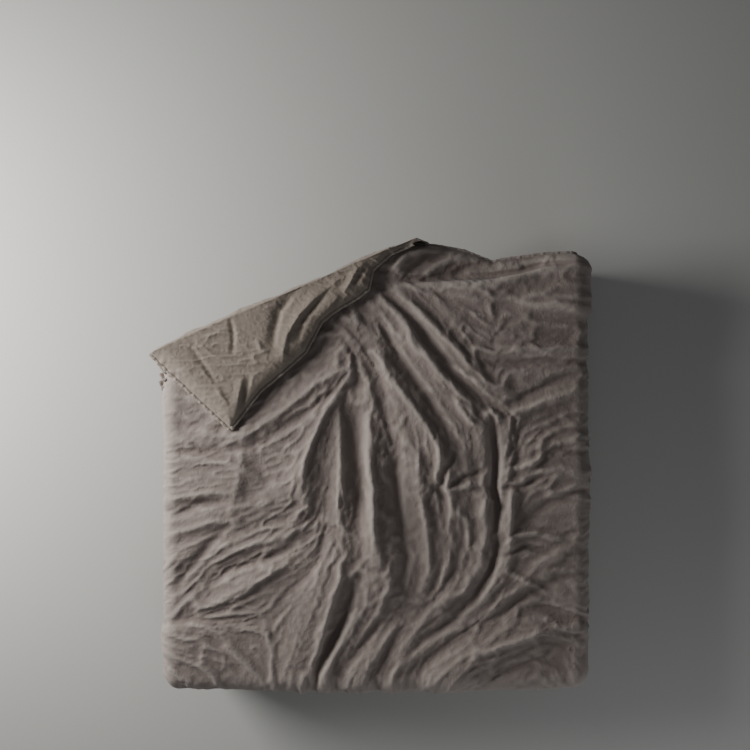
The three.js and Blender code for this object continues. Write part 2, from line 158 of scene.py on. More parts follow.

# %% [markdown]
# ## Drawing the folds
#
# Cloth creases into long ridges with a steeper side. Each fold is a line on the flat cloth with a
# height and a width. The big ones are drawn one by one, because they give this duvet its character. The
# small ones come from random noise that is drawn out along the same directions, because cloth that
# is pulled one way creases that way. A height below zero draws a valley.

# %% Folds drawn one by one: height and width in millimetres, then the line
FOLDS = [
    (26, 34, [(0.02, 0.50), (0.10, 0.42), (0.17, 0.31), (0.25, 0.20), (0.33, 0.12), (0.40, 0.00)]),
    (-20, 22, [(0.03, 0.53), (0.14, 0.41), (0.23, 0.30), (0.30, 0.20), (0.40, 0.12), (0.49, 0.05)]),
    (20, 26, [(0.07, 0.53), (0.19, 0.42), (0.29, 0.31), (0.37, 0.22), (0.46, 0.15), (0.56, 0.09)]),
    (-18, 22, [(0.02, 0.41), (0.09, 0.26), (0.18, 0.14), (0.25, 0.03), (0.33, -0.10)]),
    (24, 28, [(0.00, 0.30), (0.06, 0.18), (0.14, 0.08), (0.21, -0.02), (0.27, -0.15), (0.30, -0.30)]),
    (16, 26, [(-0.10, 0.22), (-0.22, 0.16), (-0.34, 0.06), (-0.46, -0.02), (-0.58, -0.06)]),
    (-12, 20, [(-0.02, 0.16), (-0.16, 0.12), (-0.28, 0.03), (-0.42, -0.06), (-0.56, -0.10)]),
    (-20, 17, [(0.45, 0.03), (0.465, -0.12), (0.46, -0.25), (0.475, -0.32), (0.466, -0.42), (0.47, -0.50),
               (0.44, -0.59), (0.38, -0.68), (0.29, -0.77), (0.19, -0.83), (0.10, -0.91)]),
    (-28, 12, [(0.458, 0.03), (0.468, -0.12), (0.463, -0.25), (0.477, -0.32), (0.468, -0.42)]),
    (22, 11, [(0.42, 0.035), (0.45, 0.055), (0.475, 0.03), (0.48, 0.00)]),
    (14, 12, [(0.30, 0.12), (0.34, 0.05), (0.37, 0.01), (0.41, -0.01)]),
    (-16, 10, [(0.31, -0.10), (0.27, -0.18), (0.25, -0.25), (0.28, -0.30)]),
    (18, 10, [(0.25, -0.02), (0.25, -0.12), (0.235, -0.20), (0.27, -0.26)]),
    (14, 9, [(0.27, -0.26), (0.34, -0.24), (0.42, -0.22)]),
    (-14, 9, [(0.28, -0.23), (0.35, -0.20), (0.43, -0.17)]),
    (16, 9, [(0.48, -0.20), (0.53, -0.17), (0.60, -0.15), (0.70, -0.07)]),
    (-14, 8, [(0.48, -0.24), (0.56, -0.24), (0.66, -0.19)]),
    (18, 9, [(0.49, -0.47), (0.54, -0.43), (0.62, -0.42), (0.74, -0.45)]),
    (-16, 9, [(0.49, -0.51), (0.58, -0.47), (0.70, -0.50)]),
    (16, 9, [(0.50, -0.56), (0.58, -0.60), (0.68, -0.66)]),
    (-18, 40, [(-0.06, 0.20), (-0.055, 0.00), (-0.05, -0.20), (-0.055, -0.42)]),
    (-12, 60, [(0.60, -0.62), (0.74, -0.78), (0.80, -0.95)]),
    (12, 60, [(-0.50, 0.00), (-0.52, -0.20), (-0.56, -0.36)]),
    (-10, 50, [(0.62, 0.36), (0.74, 0.35), (0.90, 0.35)]),
    (30, 16, [(0.06, 0.59), (0.12, 0.65), (0.20, 0.685), (0.27, 0.69)]),
    (-28, 14, [(0.12, 0.59), (0.20, 0.645), (0.29, 0.665)]),
    (26, 15, [(0.19, 0.585), (0.27, 0.63), (0.36, 0.655)]),
    (-22, 12, [(0.30, 0.585), (0.38, 0.62), (0.44, 0.625)]),
    (22, 14, [(0.45, 0.60), (0.55, 0.615), (0.66, 0.64), (0.76, 0.65)]),
    (20, 16, [(-0.16, -0.90), (-0.19, -1.02), (-0.20, -1.18)]),
    (-20, 12, [(-0.21, -0.92), (-0.235, -1.03), (-0.24, -1.20)]),
    (18, 14, [(-0.27, -0.95), (-0.29, -1.05), (-0.285, -1.20)]),
    (-16, 14, [(0.02, -0.98), (0.01, -1.08), (0.02, -1.22)]),
    (16, 16, [(0.07, -0.95), (0.07, -1.06), (0.08, -1.22)]),
    (18, 30, [(0.41, 0.02), (0.42, -0.14), (0.415, -0.28), (0.43, -0.40), (0.41, -0.54), (0.34, -0.64),
              (0.25, -0.72), (0.15, -0.79)]),
    (14, 26, [(0.51, 0.00), (0.52, -0.16), (0.525, -0.34), (0.52, -0.50), (0.49, -0.62)]),
    (-26, 34, [(-0.08, 0.08), (-0.07, -0.08), (-0.06, -0.27), (-0.06, -0.45), (-0.05, -0.56)]),
    (22, 24, [(-0.02, 0.06), (-0.025, -0.10), (-0.01, -0.24), (0.00, -0.40), (0.02, -0.55)]),
    (18, 26, [(-0.14, 0.10), (-0.13, -0.06), (-0.13, -0.24), (-0.15, -0.40)]),
    (-16, 22, [(0.09, -0.02), (0.08, -0.18), (0.09, -0.34), (0.12, -0.50), (0.10, -0.66)]),
    (18, 24, [(0.16, -0.10), (0.17, -0.26), (0.20, -0.40), (0.21, -0.56), (0.16, -0.70)]),
    (-14, 22, [(-0.55, -0.38), (-0.64, -0.47), (-0.73, -0.57), (-0.78, -0.66)]),
    (20, 26, [(-0.32, -0.53), (-0.45, -0.60), (-0.58, -0.67), (-0.70, -0.73)]),
    (-16, 22, [(-0.29, -0.47), (-0.42, -0.52), (-0.56, -0.57), (-0.66, -0.63)]),
    (16, 24, [(-0.24, -0.38), (-0.38, -0.44), (-0.52, -0.48), (-0.64, -0.54)]),
    (22, 26, [(-0.11, -0.50), (-0.16, -0.68), (-0.21, -0.84), (-0.25, -1.00)]),
    (-24, 26, [(-0.05, -0.56), (-0.10, -0.70), (-0.15, -0.82), (-0.23, -0.97)]),
    (20, 22, [(-0.06, -0.70), (-0.13, -0.84), (-0.20, -0.96), (-0.24, -1.08)]),
    (-14, 20, [(0.03, -0.74), (-0.05, -0.86), (-0.14, -0.98)]),
    (16, 24, [(0.10, -0.74), (0.02, -0.86), (-0.07, -0.99)]),
    (-10, 18, [(-0.76, -0.10), (-0.60, -0.095), (-0.44, -0.09)]),
    (12, 22, [(-0.78, -0.05), (-0.62, -0.045), (-0.46, -0.04)]),
    (12, 20, [(-0.78, -0.15), (-0.68, -0.14), (-0.56, -0.15), (-0.44, -0.20)]),
    (-12, 18, [(-0.85, -0.35), (-0.76, -0.34), (-0.66, -0.30), (-0.56, -0.31)]),
    (13, 22, [(-0.85, -0.30), (-0.74, -0.28), (-0.62, -0.26), (-0.50, -0.27)]),
    (-8, 16, [(-0.82, -0.01), (-0.74, -0.01), (-0.66, 0.00)]),
    (14, 24, [(-0.86, -0.48), (-0.76, -0.42), (-0.64, -0.38), (-0.50, -0.37)]),
    (-14, 18, [(0.60, 0.43), (0.72, 0.41), (0.84, 0.40), (0.95, 0.40)]),
    (13, 22, [(0.56, 0.47), (0.70, 0.46), (0.84, 0.45), (0.96, 0.45)]),
    (-16, 20, [(0.40, 0.24), (0.55, 0.235), (0.70, 0.24), (0.85, 0.24), (0.98, 0.25)]),
    (15, 26, [(0.46, 0.30), (0.60, 0.29), (0.76, 0.29), (0.92, 0.30)]),
    (-12, 20, [(0.48, 0.06), (0.60, 0.12), (0.70, 0.17), (0.80, 0.20)]),
    (14, 26, [(0.50, 0.01), (0.62, 0.07), (0.74, 0.12), (0.86, 0.15)]),
    (-12, 20, [(0.60, -0.12), (0.72, -0.10), (0.84, -0.11), (0.98, -0.14)]),
    (14, 26, [(0.58, -0.18), (0.72, -0.17), (0.86, -0.19), (0.98, -0.22)]),
    (-12, 22, [(0.56, -0.38), (0.68, -0.30), (0.80, -0.26), (0.94, -0.25)]),
    (13, 26, [(0.54, -0.62), (0.66, -0.52), (0.78, -0.46), (0.92, -0.42)]),
    (-12, 22, [(0.46, -0.76), (0.58, -0.66), (0.70, -0.60), (0.84, -0.56)]),
    (13, 24, [(0.36, -0.90), (0.50, -0.84), (0.66, -0.80), (0.82, -0.78)]),
    (12, 24, [(-0.60, -0.86), (-0.50, -0.92), (-0.42, -1.00)]),
    (-10, 20, [(-0.72, -0.80), (-0.60, -0.86), (-0.50, -0.95)]),
]


def fold_height(points, line, height, width):
    """Height that one fold adds at each flat point: full at the line's middle, none past its ends."""
    line = np.asarray(line, float)
    low, high = line.min(0) - 3 * width, line.max(0) + 3 * width
    near = np.all((points > low) & (points < high), axis=1)
    added = np.zeros(len(points))
    if not near.any():
        return added
    here = points[near]
    step = np.diff(line, axis=0)
    lengths = np.linalg.norm(step, axis=1)
    start = np.concatenate([[0], np.cumsum(lengths)[:-1]])
    best = np.full(len(here), 1e9)
    along = np.zeros(len(here))
    side = np.zeros(len(here))
    for k in range(len(step)):
        offset = here - line[k]
        t = np.clip(offset @ step[k] / lengths[k] ** 2, 0, 1)
        away = offset - t[:, None] * step[k]
        distance = np.hypot(away[:, 0], away[:, 1])
        closer = distance < best
        best = np.where(closer, distance, best)
        along = np.where(closer, start[k] + t * lengths[k], along)
        side = np.where(closer, np.sign(step[k][0] * away[:, 1] - step[k][1] * away[:, 0]), side)
    total = lengths.sum()
    taper = np.clip(4 * (along / total) * (1 - along / total), 0, 1) ** 0.6
    reach = np.where(side > 0, width * 0.75, width * 1.25)
    x = best / reach
    soft, crisp = np.exp(-(x**2)), np.exp(-np.sqrt(x**2 + 0.01) * 2.2)
    profile = 0.55 * soft + 0.55 * crisp if height > 0 else soft
    added[near] = height * taper * profile
    return added


def directions(points):
    """The way the cloth is pulled at each flat point, from the listed folds round it."""
    total = np.zeros((len(points), 2))
    for height, _, line in FOLDS:
        line = np.asarray(line, float)
        middle = (line[1:] + line[:-1]) / 2
        step = np.diff(line, axis=0)
        angle = 2 * np.arctan2(step[:, 1], step[:, 0])
        for m, a, l in zip(middle, angle, np.linalg.norm(step, axis=1)):
            r2 = ((points - m) ** 2).sum(1)
            w = l * (1e-3 + np.exp(-r2 / 0.02))
            total += w[:, None] * [math.cos(a), math.sin(a)]
    half = np.arctan2(total[:, 1], total[:, 0]) / 2
    return np.stack([np.cos(half), np.sin(half)], 1)


CELL = 0.005  # of the grid that the streaks are drawn on
GRID_LOW = np.array([-0.96, -1.34])
GRID_SHAPE = (424, 420)


def sample(field, points):
    """The field's values at flat points, from the four cells round each."""
    place = (points - GRID_LOW) / CELL
    place = np.clip(place, 0, np.array(GRID_SHAPE) - 1.001)
    low = place.astype(int)
    t = place - low
    i, j = low.T
    a, b = (t[:, 0], t[:, 1]) if field.ndim == 2 else (t[:, :1], t[:, 1:])
    return (field[i, j] * (1 - a) * (1 - b) + field[i + 1, j] * a * (1 - b)
            + field[i, j + 1] * (1 - a) * b + field[i + 1, j + 1] * a * b)


CELLS = np.stack(np.meshgrid(*map(np.arange, GRID_SHAPE), indexing="ij"), -1)
GRID = GRID_LOW + CELL * CELLS.reshape(-1, 2)
PULL = directions(GRID).reshape(*GRID_SHAPE, 2)


def streaks(seed, across, along):
    """Random waves as wide as across, drawn out to the length along in the direction of the pull."""
    noise = np.random.default_rng(seed).normal(size=GRID_SHAPE)
    waves_x, waves_y = np.meshgrid(*[np.fft.fftfreq(n, CELL) for n in GRID_SHAPE], indexing="ij")
    soft = np.exp(-2 * (math.pi * across / 3) ** 2 * (waves_x**2 + waves_y**2))
    blurred = np.real(np.fft.ifft2(np.fft.fft2(noise) * soft))
    total = blurred.ravel().copy()
    step = across * 0.4
    for sign in (1, -1):
        place, heading = GRID.copy(), PULL.reshape(-1, 2) * sign
        for _ in range(max(1, int(along / 2 / step))):
            place = place + step * heading
            total += sample(blurred, place)
            turned = sample(PULL, place)
            turned /= np.linalg.norm(turned, axis=1, keepdims=True) + 1e-9
            heading = np.where((turned * heading).sum(1, keepdims=True) < 0, -turned, turned)
    return (total / total.std()).reshape(GRID_SHAPE)


def pillows(field, sharp=0.12):
    """Soft swellings that meet in creases, with a mean of zero."""
    made = np.sqrt(field**2 + sharp**2)
    return made - made.mean()


def fold_field(points, folds, share=1.0):
    """Heights of many folds together, in metres."""
    return sum(fold_height(points, line, h * share * 1e-3, w * 1e-3) for h, w, line in folds)


print(len(FOLDS), "folds drawn by hand")

# %% [markdown]
# ## Mesh helpers
#
# Every sheet is a grid of points, because a grid subdivides evenly and never leaves a hole. Each
# piece keeps its own origin at the frame's origin.


# %% Build meshes from grids
def make_object(name, points, faces):
    mesh = bpy.data.meshes.new(name)
    mesh.from_pydata([tuple(p) for p in points], [], [tuple(f) for f in faces])
    mesh.polygons.foreach_set("use_smooth", [True] * len(mesh.polygons))
    mesh.update()
    made = bpy.data.objects.new(name, mesh)
    bpy.context.scene.collection.objects.link(made)
    return made


def grid_faces(columns, rows, flip=False, start=0):
    i, j = np.meshgrid(np.arange(columns - 1), np.arange(rows - 1), indexing="ij")
    a = start + i * rows + j
    quads = np.stack([a, a + rows, a + rows + 1, a + 1], -1).reshape(-1, 4)
    return quads[:, ::-1] if flip else quads


def grid_object(name, points, flip=False):
    """points is (columns, rows, 3). Its front faces up when columns run along +X and rows along +Y."""
    columns, rows = points.shape[:2]
    return make_object(name, points.reshape(-1, 3), grid_faces(columns, rows, flip))


def read(items, name, width, kind=np.float32):
    """One row of numbers for each vertex, edge or attribute value."""
    out = np.zeros(len(items) * width, kind)
    items.foreach_get(name, out)
    return out.reshape(-1, width)


def co_of(obj):
    return read(obj.data.vertices, "co", 3).astype(float)


def normals_of(obj):
    return read(obj.data.vertices, "normal", 3).astype(float)


def set_co(obj, points):
    obj.data.vertices.foreach_set("co", np.asarray(points, np.float32).ravel())
    obj.data.update()


def bake(obj):
    """Replaces the object's mesh with what its modifiers make of it."""
    graph = bpy.context.evaluated_depsgraph_get()
    made = bpy.data.meshes.new_from_object(obj.evaluated_get(graph))
    obj.modifiers.clear()
    obj.data = made
    return obj


def subdivide(obj):
    smoothing = obj.modifiers.new("smooth", "SUBSURF")
    smoothing.levels = smoothing.render_levels = 1
    return bake(obj)


def face_outwards(obj):
    """Turns a closed mesh's faces outwards: its volume is positive when they already are."""
    points = obj.data.vertices
    volume = sum(points[f.vertices[0]].co.dot(f.normal * f.area) for f in obj.data.polygons)
    if volume < 0:
        obj.data.flip_normals()


print("helpers ready")

# %% [markdown]
# ## The face panel's height over the bed
#
# The filling lifts the face panel to its loft, and the panel comes down to the hems in a soft
# shoulder. Near the head the insert has slid down, so the band past its edge is almost empty. Under
# the turned corner the panel is pressed flat by what lies on it.

# %% Heights of the face panel
HEM_IN = np.array([  # from the fold's start, and how far the turned head hem is drawn in there
    (0.0, 0.023), (0.186, 0.042), (0.288, 0.028), (0.411, 0.018), (0.536, 0.052), (0.595, 0.045),
    (0.696, 0.015), (0.752, 0.007), (0.816, 0.046), (0.885, 0.040), (0.947, 0.030), (1.03, 0.020),
])
TUCK = np.array([  # u and v where the insert ends below the head hem
    (0.10, 0.545), (0.30, 0.556), (0.455, 0.560), (0.551, 0.579), (0.667, 0.610), (0.80, 0.622),
    (1.10, 0.610),
])
NO_HEIGHT = 0.0045  # of the face panel where nothing lies under it


def creases(field, width):
    """Thin ridges where the field passes through zero, with a mean of zero."""
    made = np.exp(-np.sqrt(field**2 + (0.3 * width) ** 2) / width)
    return made - made.mean()


def patches(seed, size):
    """0 to 1 over large soft patches, because cloth is creased in some places and smooth in others."""
    return smooth(0.5 + 0.45 * streaks(seed, size, size))


CREASING = 1.2 * (
    0.0100 * pillows(streaks(31, 0.180, 0.60), 0.5)
    + 0.0100 * creases(streaks(32, 0.110, 0.50), 0.28) * patches(41, 0.30)
    + 0.0088 * creases(streaks(33, 0.062, 0.34), 0.22) * patches(42, 0.22)
    + 0.0050 * creases(streaks(36, 0.042, 0.26), 0.24) * patches(44, 0.18)
)
FINE = 1.35 * (
    0.0032 * creases(streaks(34, 0.030, 0.18), 0.28) * patches(43, 0.15)
    + 0.0011 * creases(streaks(35, 0.018, 0.08), 0.36)
)


def hem_in(u):
    """How far the turned head hem is drawn in at u, because it was never laid out straight."""
    return np.interp(u - FOLD_U, HEM_IN[:, 0], HEM_IN[:, 1])


def flap_depth(u, v):
    """How far inside the turned corner's outline a point of the bed is, below zero outside it."""
    away = (np.stack([u, v], -1) - FOLD_POINT) @ OUT
    mirrored = np.stack([u, v], -1) - 2 * away[..., None] * OUT
    hem = HEAD - hem_in(mirrored[..., 0]) - mirrored[..., 1]
    return np.minimum(np.minimum(mirrored[..., 0] - FOLD_U, hem), -away)


def hem_shoulder(distance, width):
    """0 at the hem, 1 a width away, rising steeply first."""
    x = np.clip(distance / width, 0, 1)
    return np.sqrt(np.clip(1 - (1 - x) ** 2, 0, 1))


def calm(u, v):
    """1 over most of the cloth, and 0.1 where it fans round a foot corner and folds would crowd."""
    return 1 - 0.9 * smooth(np.minimum(np.abs(u) - BEND_X, -v - BEND_Y) / 0.07 + 0.3)


def face_height(u, v):
    """Height of the face panel above the cloth's underside, before the small folds."""
    shoulder = np.minimum(hem_shoulder(u - LEFT - SEAM, 0.11), hem_shoulder(RIGHT - SEAM - u, 0.12))
    shoulder = np.minimum(shoulder, hem_shoulder(v - FOOT - PLACKET, 0.12))
    crown = 0.026 * np.clip(1 - (u / 0.80) ** 2, -0.6, 1) * np.clip(1 - ((v + 0.25) / 1.0) ** 2, 0, 1) ** 0.5
    h = NO_HEIGHT + (0.046 + crown) * shoulder
    points = np.stack([u.ravel(), v.ravel()], -1)
    folds = (fold_field(points, FOLDS, 0.74) + sample(CREASING, points)).reshape(u.shape)
    over = np.maximum(np.abs(u) - 0.76, -0.96 - v)  # past the bed's edge
    folds = folds * (1 - 0.50 * smooth(over / 0.08)) * calm(u, v)
    h = h + folds * smooth(shoulder)
    tuck = np.interp(u, TUCK[:, 0], TUCK[:, 1])
    past = (v - tuck) * (u > 0.02)
    ledge = smooth(past / 0.018 + 0.5) * smooth((u - 0.02) / 0.14)
    band = 0.008 + (0.016 + 0.034 * (1 - smooth((u - 0.10) / 0.25))) * smooth((head_v(u) - v) / 0.035)
    band = band + 0.026 * smooth((u - 0.60) / 0.20) * smooth((head_v(u) - v) / 0.035)
    h = h + 0.012 * np.exp(-((np.minimum(past, 0) / 0.05) ** 2)) * (u > 0.02) * smooth((u - 0.02) / 0.10)
    h = h * (1 - ledge) + (band + 0.55 * folds) * ledge
    depth = flap_depth(u, v)
    pressed = 0.0575 + 0.010 * np.exp(-np.maximum(depth, 0) / 0.03) + 0.05 * smooth(-depth / 0.05)
    beside = smooth((u - FOLD_END + 0.02) / 0.06)
    return np.clip(h, NO_HEIGHT, np.maximum(pressed, beside * 0.1))


print("creases from", round(float(CREASING.min()) * 1000, 1), "to", round(float(CREASING.max()) * 1000, 1), "mm")


# %% [markdown]
# ## Cloth simulation
#
# A height map alone looks like relief on a plate. Real cloth is longer than the bed it covers, so it
# buckles. The panel is simulated with its rest length a little over its laid length, each point held
# softly at its drawn place: the cloth finds its own wrinkles between the drawn folds.


# %% Settle a sheet
FRAMES = 14  # of simulation, enough for the wrinkles to form


def settle(obj, hold, slack, cap=0.016):
    """Simulates obj as cloth that is slack too long. hold is how firmly each point keeps its place."""
    before = co_of(obj)
    group = obj.vertex_groups.new(name="hold")
    levels = np.round(np.clip(hold, 0, 1), 2)
    for level in np.unique(levels):
        group.add([int(i) for i in np.flatnonzero(levels == level)], float(level), "REPLACE")
    cloth = obj.modifiers.new("settle", "CLOTH")
    cotton_like = {"quality": 5, "mass": 0.2, "tension_stiffness": 18, "compression_stiffness": 18,
                   "shear_stiffness": 6, "bending_stiffness": 0.35, "air_damping": 2,
                   "vertex_group_mass": "hold", "pin_stiffness": 12.0, "shrink_min": -slack}
    for name, value in cotton_like.items():
        setattr(cloth.settings, name, value)
    cloth.settings.effector_weights.gravity = 0
    cloth.collision_settings.use_collision = False
    cloth.collision_settings.use_self_collision = False
    scene = bpy.context.scene
    scene.frame_start, scene.frame_end = 1, FRAMES
    cloth.point_cache.frame_start, cloth.point_cache.frame_end = 1, FRAMES
    for f in range(1, FRAMES + 1):
        scene.frame_set(f)
    bake(obj)
    scene.frame_set(1)
    moved = co_of(obj) - before
    size = np.linalg.norm(moved, axis=1)
    moved *= (np.minimum(size, cap) / np.maximum(size, 1e-9))[:, None]
    set_co(obj, before + moved)
    print(obj.name, "settled; mean and largest move", *np.round([size.mean() * 1000, size.max() * 1000], 2), "mm")


# %% [markdown]
# ## Fine creases, with ridges painted lighter and valleys darker
#
# Cotton that has been washed keeps sharp little creases. They are added after the simulation, on the
# finer mesh, along each point's normal. Each point keeps how far it stands out from its neighbours for
# the material to use. The material paints ridges lighter and valleys darker: a painted highlight and
# painted shade that follow the folds, besides some wear of the dye where ridges rub.

# %% Fine creases, and the ridge attribute
def flat_places(u, v, w=0.0):
    """Places on the flat cloth as rows of three numbers; w tells one layer from another."""
    return np.stack(np.broadcast_arrays(u, v, w), -1).reshape(-1, 3)


def keep_flat(obj, points):
    """Stores each point's place on the flat cloth, for the weave and for later steps."""
    layer = obj.data.attributes.get("flat") or obj.data.attributes.new("flat", "FLOAT_VECTOR", "POINT")
    layer.data.foreach_set("vector", np.asarray(points, np.float32).ravel())


def edges_of(obj):
    return read(obj.data.edges, "vertices", 2, np.int32)


def local_mean(obj, values, times):
    """Each point's value replaced by its neighbours' mean, several times over."""
    a, b = edges_of(obj).T
    count = np.bincount(np.concatenate([a, b]), minlength=len(values)).astype(float)
    for _ in range(times):
        total = np.zeros_like(values)
        np.add.at(total, a, values[b])
        np.add.at(total, b, values[a])
        values = total / count.reshape((-1,) + (1,) * (values.ndim - 1))
    return values


def standing(obj, reach):
    """How far each point stands out from its neighbours, along its normal."""
    co = co_of(obj)
    return ((co - local_mean(obj, co, reach)) * normals_of(obj)).sum(1)


def keep_ridge(obj, values):
    layer = obj.data.attributes.get("ridge") or obj.data.attributes.new("ridge", "FLOAT", "POINT")
    layer.data.foreach_set("value", np.asarray(values, np.float32))


# The material paints the cloth lighter where this is high and darker where it is low: a painted highlight on
# ridges and painted shade in valleys, besides wear of the dye.
def mark_ridges(obj, reach=6, strength=260.0):
    """Stores 0 in valleys, 0.5 on the level and 1 on ridges."""
    stand = local_mean(obj, standing(obj, reach), 2)
    keep_ridge(obj, np.clip(0.5 + stand * strength, 0, 1))


def sharpen(obj, amount):
    """Brings out what stands above or below its neighbours, which subdividing has smoothed away."""
    most = 0.004
    stand = np.clip(standing(obj, 3) * amount, -most, most)
    set_co(obj, co_of(obj) + normals_of(obj) * stand[:, None])


def crease(obj, field, share=1.0):
    """Lifts each point along its normal by the field at its place on the flat cloth."""
    flat = read(obj.data.attributes["flat"].data, "vector", 3).astype(float)[:, :2]
    lift = sample(field, flat) * share * calm(*flat.T)
    set_co(obj, co_of(obj) + normals_of(obj) * lift[:, None])


def dress(obj, flat, material, fine=False, reach=6, strength=260.0):
    """Gives a sheet its flat places, a finer mesh if asked, its ridges and its material."""
    keep_flat(obj, flat)
    if fine:
        subdivide(obj)
    mark_ridges(obj, reach, strength)
    obj.data.materials.append(material)


print("fine creases up to", round(float(FINE.max()) * 1000, 1), "mm")

# %% [markdown]
# ## The face panel
#
# The big panel that shows over most of the bed. It is one grid: its columns run from the foot hem up
# to the fold line, or to the head hem beyond the fold. Points at the hems and under the turned
# corner keep their place while the rest settles.

# %% Build the face panel
COLUMNS, ROWS = 158, 154


def cloth_top(u):
    """v where the spread layers end at u: on the fold line, or at the head seam past its end."""
    reach = lay(u, 0.0, LOFT)[..., 0]
    return np.minimum(np.where(u < FOLD_END, fold_v(reach) - 0.001, HEAD), head_v(u) - SEAM)


def spread(u, start, end, rows):
    """Grids of u and v, with columns at u that run from v = start to v = end."""
    share = np.linspace(0, 1, rows)
    end = np.asarray(end)[:, None]
    return np.repeat(u[:, None], rows, 1), start + (end - start) * share[None, :]


u_line = np.linspace(LEFT + SEAM, RIGHT - SEAM, COLUMNS)
U, V = spread(u_line, FOOT + PLACKET, cloth_top(u_line), ROWS)
H = face_height(U, V)
face_panel = grid_object("face_panel", lay(U, V, H))
keep_flat(face_panel, flat_places(U, V, H))
rows_at = np.linspace(0, 1, ROWS)[None, :]
edge = (rows_at > 0.99) | (rows_at < 0.01) | (U < LEFT + 0.02) | (U > RIGHT - 0.02)
under = smooth(flap_depth(U, V) / 0.02) * (U < FOLD_END)
cornered = 1.1 * (1 - calm(U, V))
settle(face_panel, np.where(edge, 1.0, np.clip(0.12 + 0.88 * under + cornered, 0, 1)).ravel(), slack=0.008)
subdivide(face_panel)
crease(face_panel, FINE)
before = co_of(face_panel)
rim = np.bincount(edges_of(face_panel).ravel(), minlength=len(before)) < 4  # points on the open edges
sharpen(face_panel, 1.2)
set_co(face_panel, np.where(rim[:, None], before, co_of(face_panel)))
mark_ridges(face_panel)
print("face_panel has", len(face_panel.data.polygons), "quads")

# %% [markdown]
# ## Washed cotton
#
# The cover is plain-woven cotton, dyed and washed soft. One node group makes what every piece of it
# shares: a mottled colour, ridges painted lighter and valleys darker (a painted highlight and painted
# shade that follow the folds, besides wear of the dye), and a height for threads and fine crinkles.

# %% The cotton's node group
def socket(group, name, kind, value=None, direction="INPUT"):
    made = group.interface.new_socket(name, in_out=direction, socket_type="NodeSocket" + kind)
    if value is not None:
        made.default_value = value


def add(tree, kind, inputs=(), **settings):
    """A new node. Its inputs are given as values or as the outputs that they are linked to."""
    node = tree.nodes.new(kind)
    for name, value in settings.items():
        setattr(node, name, value)
    for name, value in dict(inputs).items():
        if isinstance(value, bpy.types.NodeSocket):
            tree.links.new(value, node.inputs[name])
        else:
            node.inputs[name].default_value = value
    return node


def noise(tree, place, scale, **inputs):
    return add(tree, "ShaderNodeTexNoise", {"Vector": place, "Scale": scale, **inputs}).outputs["Fac"]


def remap(tree, value, to=(0.0, 1.0), start=(0.0, 1.0)):
    """The value, moved from one range to another."""
    ends = {"From Min": start[0], "From Max": start[1], "To Min": to[0], "To Max": to[1]}
    return add(tree, "ShaderNodeMapRange", {"Value": value, **ends}).outputs[0]


def compute(tree, operation, *values):
    return add(tree, "ShaderNodeMath", dict(enumerate(values)), operation=operation).outputs[0]


def washed_cloth_group():
    group = bpy.data.node_groups.new("washed_cloth", "ShaderNodeTree")
    socket(group, "Dye", "Color", (0.2, 0.17, 0.15, 1))
    socket(group, "Worn and lit dye", "Color", (0.3, 0.27, 0.24, 1))
    socket(group, "Ridge", "Float", 0.5)
    socket(group, "Cloth place", "Vector")
    socket(group, "Crinkle", "Float", 1.0)
    for name, kind in [("Color", "Color"), ("Height", "Float"), ("Roughness", "Float")]:
        socket(group, name, kind, direction="OUTPUT")
    given = group.nodes.new("NodeGroupInput").outputs
    place = given["Cloth place"]

    yarns = []
    for drawn_out in [(1.0, 0.06, 1.0), (0.06, 1.0, 1.0)]:  # warp, then weft
        along = add(group, "ShaderNodeMapping", {"Vector": place, "Scale": drawn_out}).outputs[0]
        yarns.append(noise(group, along, 420.0, Detail=2.0))
    thread = compute(group, "ADD", *yarns)
    mottle = noise(group, place, 5.5, Detail=5.0, Roughness=0.6)
    crinkle = noise(group, place, 42.0, Detail=2.0, Roughness=0.45, Distortion=0.6)

    # Ridges lighter, valleys darker: a painted highlight and painted shade that follow the folds, besides wear of
    # the dye.
    wear_and_light = remap(group, given["Ridge"], start=(0.35, 0.95))
    worn_and_lit = add(group, "ShaderNodeMix", data_type="RGBA")
    group.links.new(wear_and_light, worn_and_lit.inputs["Factor"])
    group.links.new(given["Dye"], worn_and_lit.inputs["A"])
    group.links.new(given["Worn and lit dye"], worn_and_lit.inputs["B"])
    shade = remap(group, mottle, to=(0.86, 1.12))
    flecks = remap(group, thread, to=(0.93, 1.07), start=(0.6, 1.4))
    tint = compute(group, "MULTIPLY", shade, flecks)
    color = add(group, "ShaderNodeVectorMath", {0: worn_and_lit.outputs["Result"], "Scale": tint}, operation="SCALE")

    crease_line = compute(group, "ABSOLUTE", compute(group, "SUBTRACT", crinkle, 0.5))
    depth = compute(group, "MULTIPLY", crease_line, given["Crinkle"])
    height = compute(group, "SUBTRACT", compute(group, "MULTIPLY", thread, 0.12), depth)
    rough = remap(group, crinkle, to=(0.80, 0.95))
    add(group, "NodeGroupOutput", {"Color": color.outputs[0], "Height": height, "Roughness": rough})
    return group


WASHED = washed_cloth_group()


def principled(name, **inputs):
    """A new material, its tree and its Principled shader, with plain values on the shader's sockets."""
    made = bpy.data.materials.new(name)
    made.use_nodes = True
    shader = made.node_tree.nodes["Principled BSDF"]
    for key, value in inputs.items():
        shader.inputs[key.replace("_", " ")].default_value = value
    return made, made.node_tree, shader


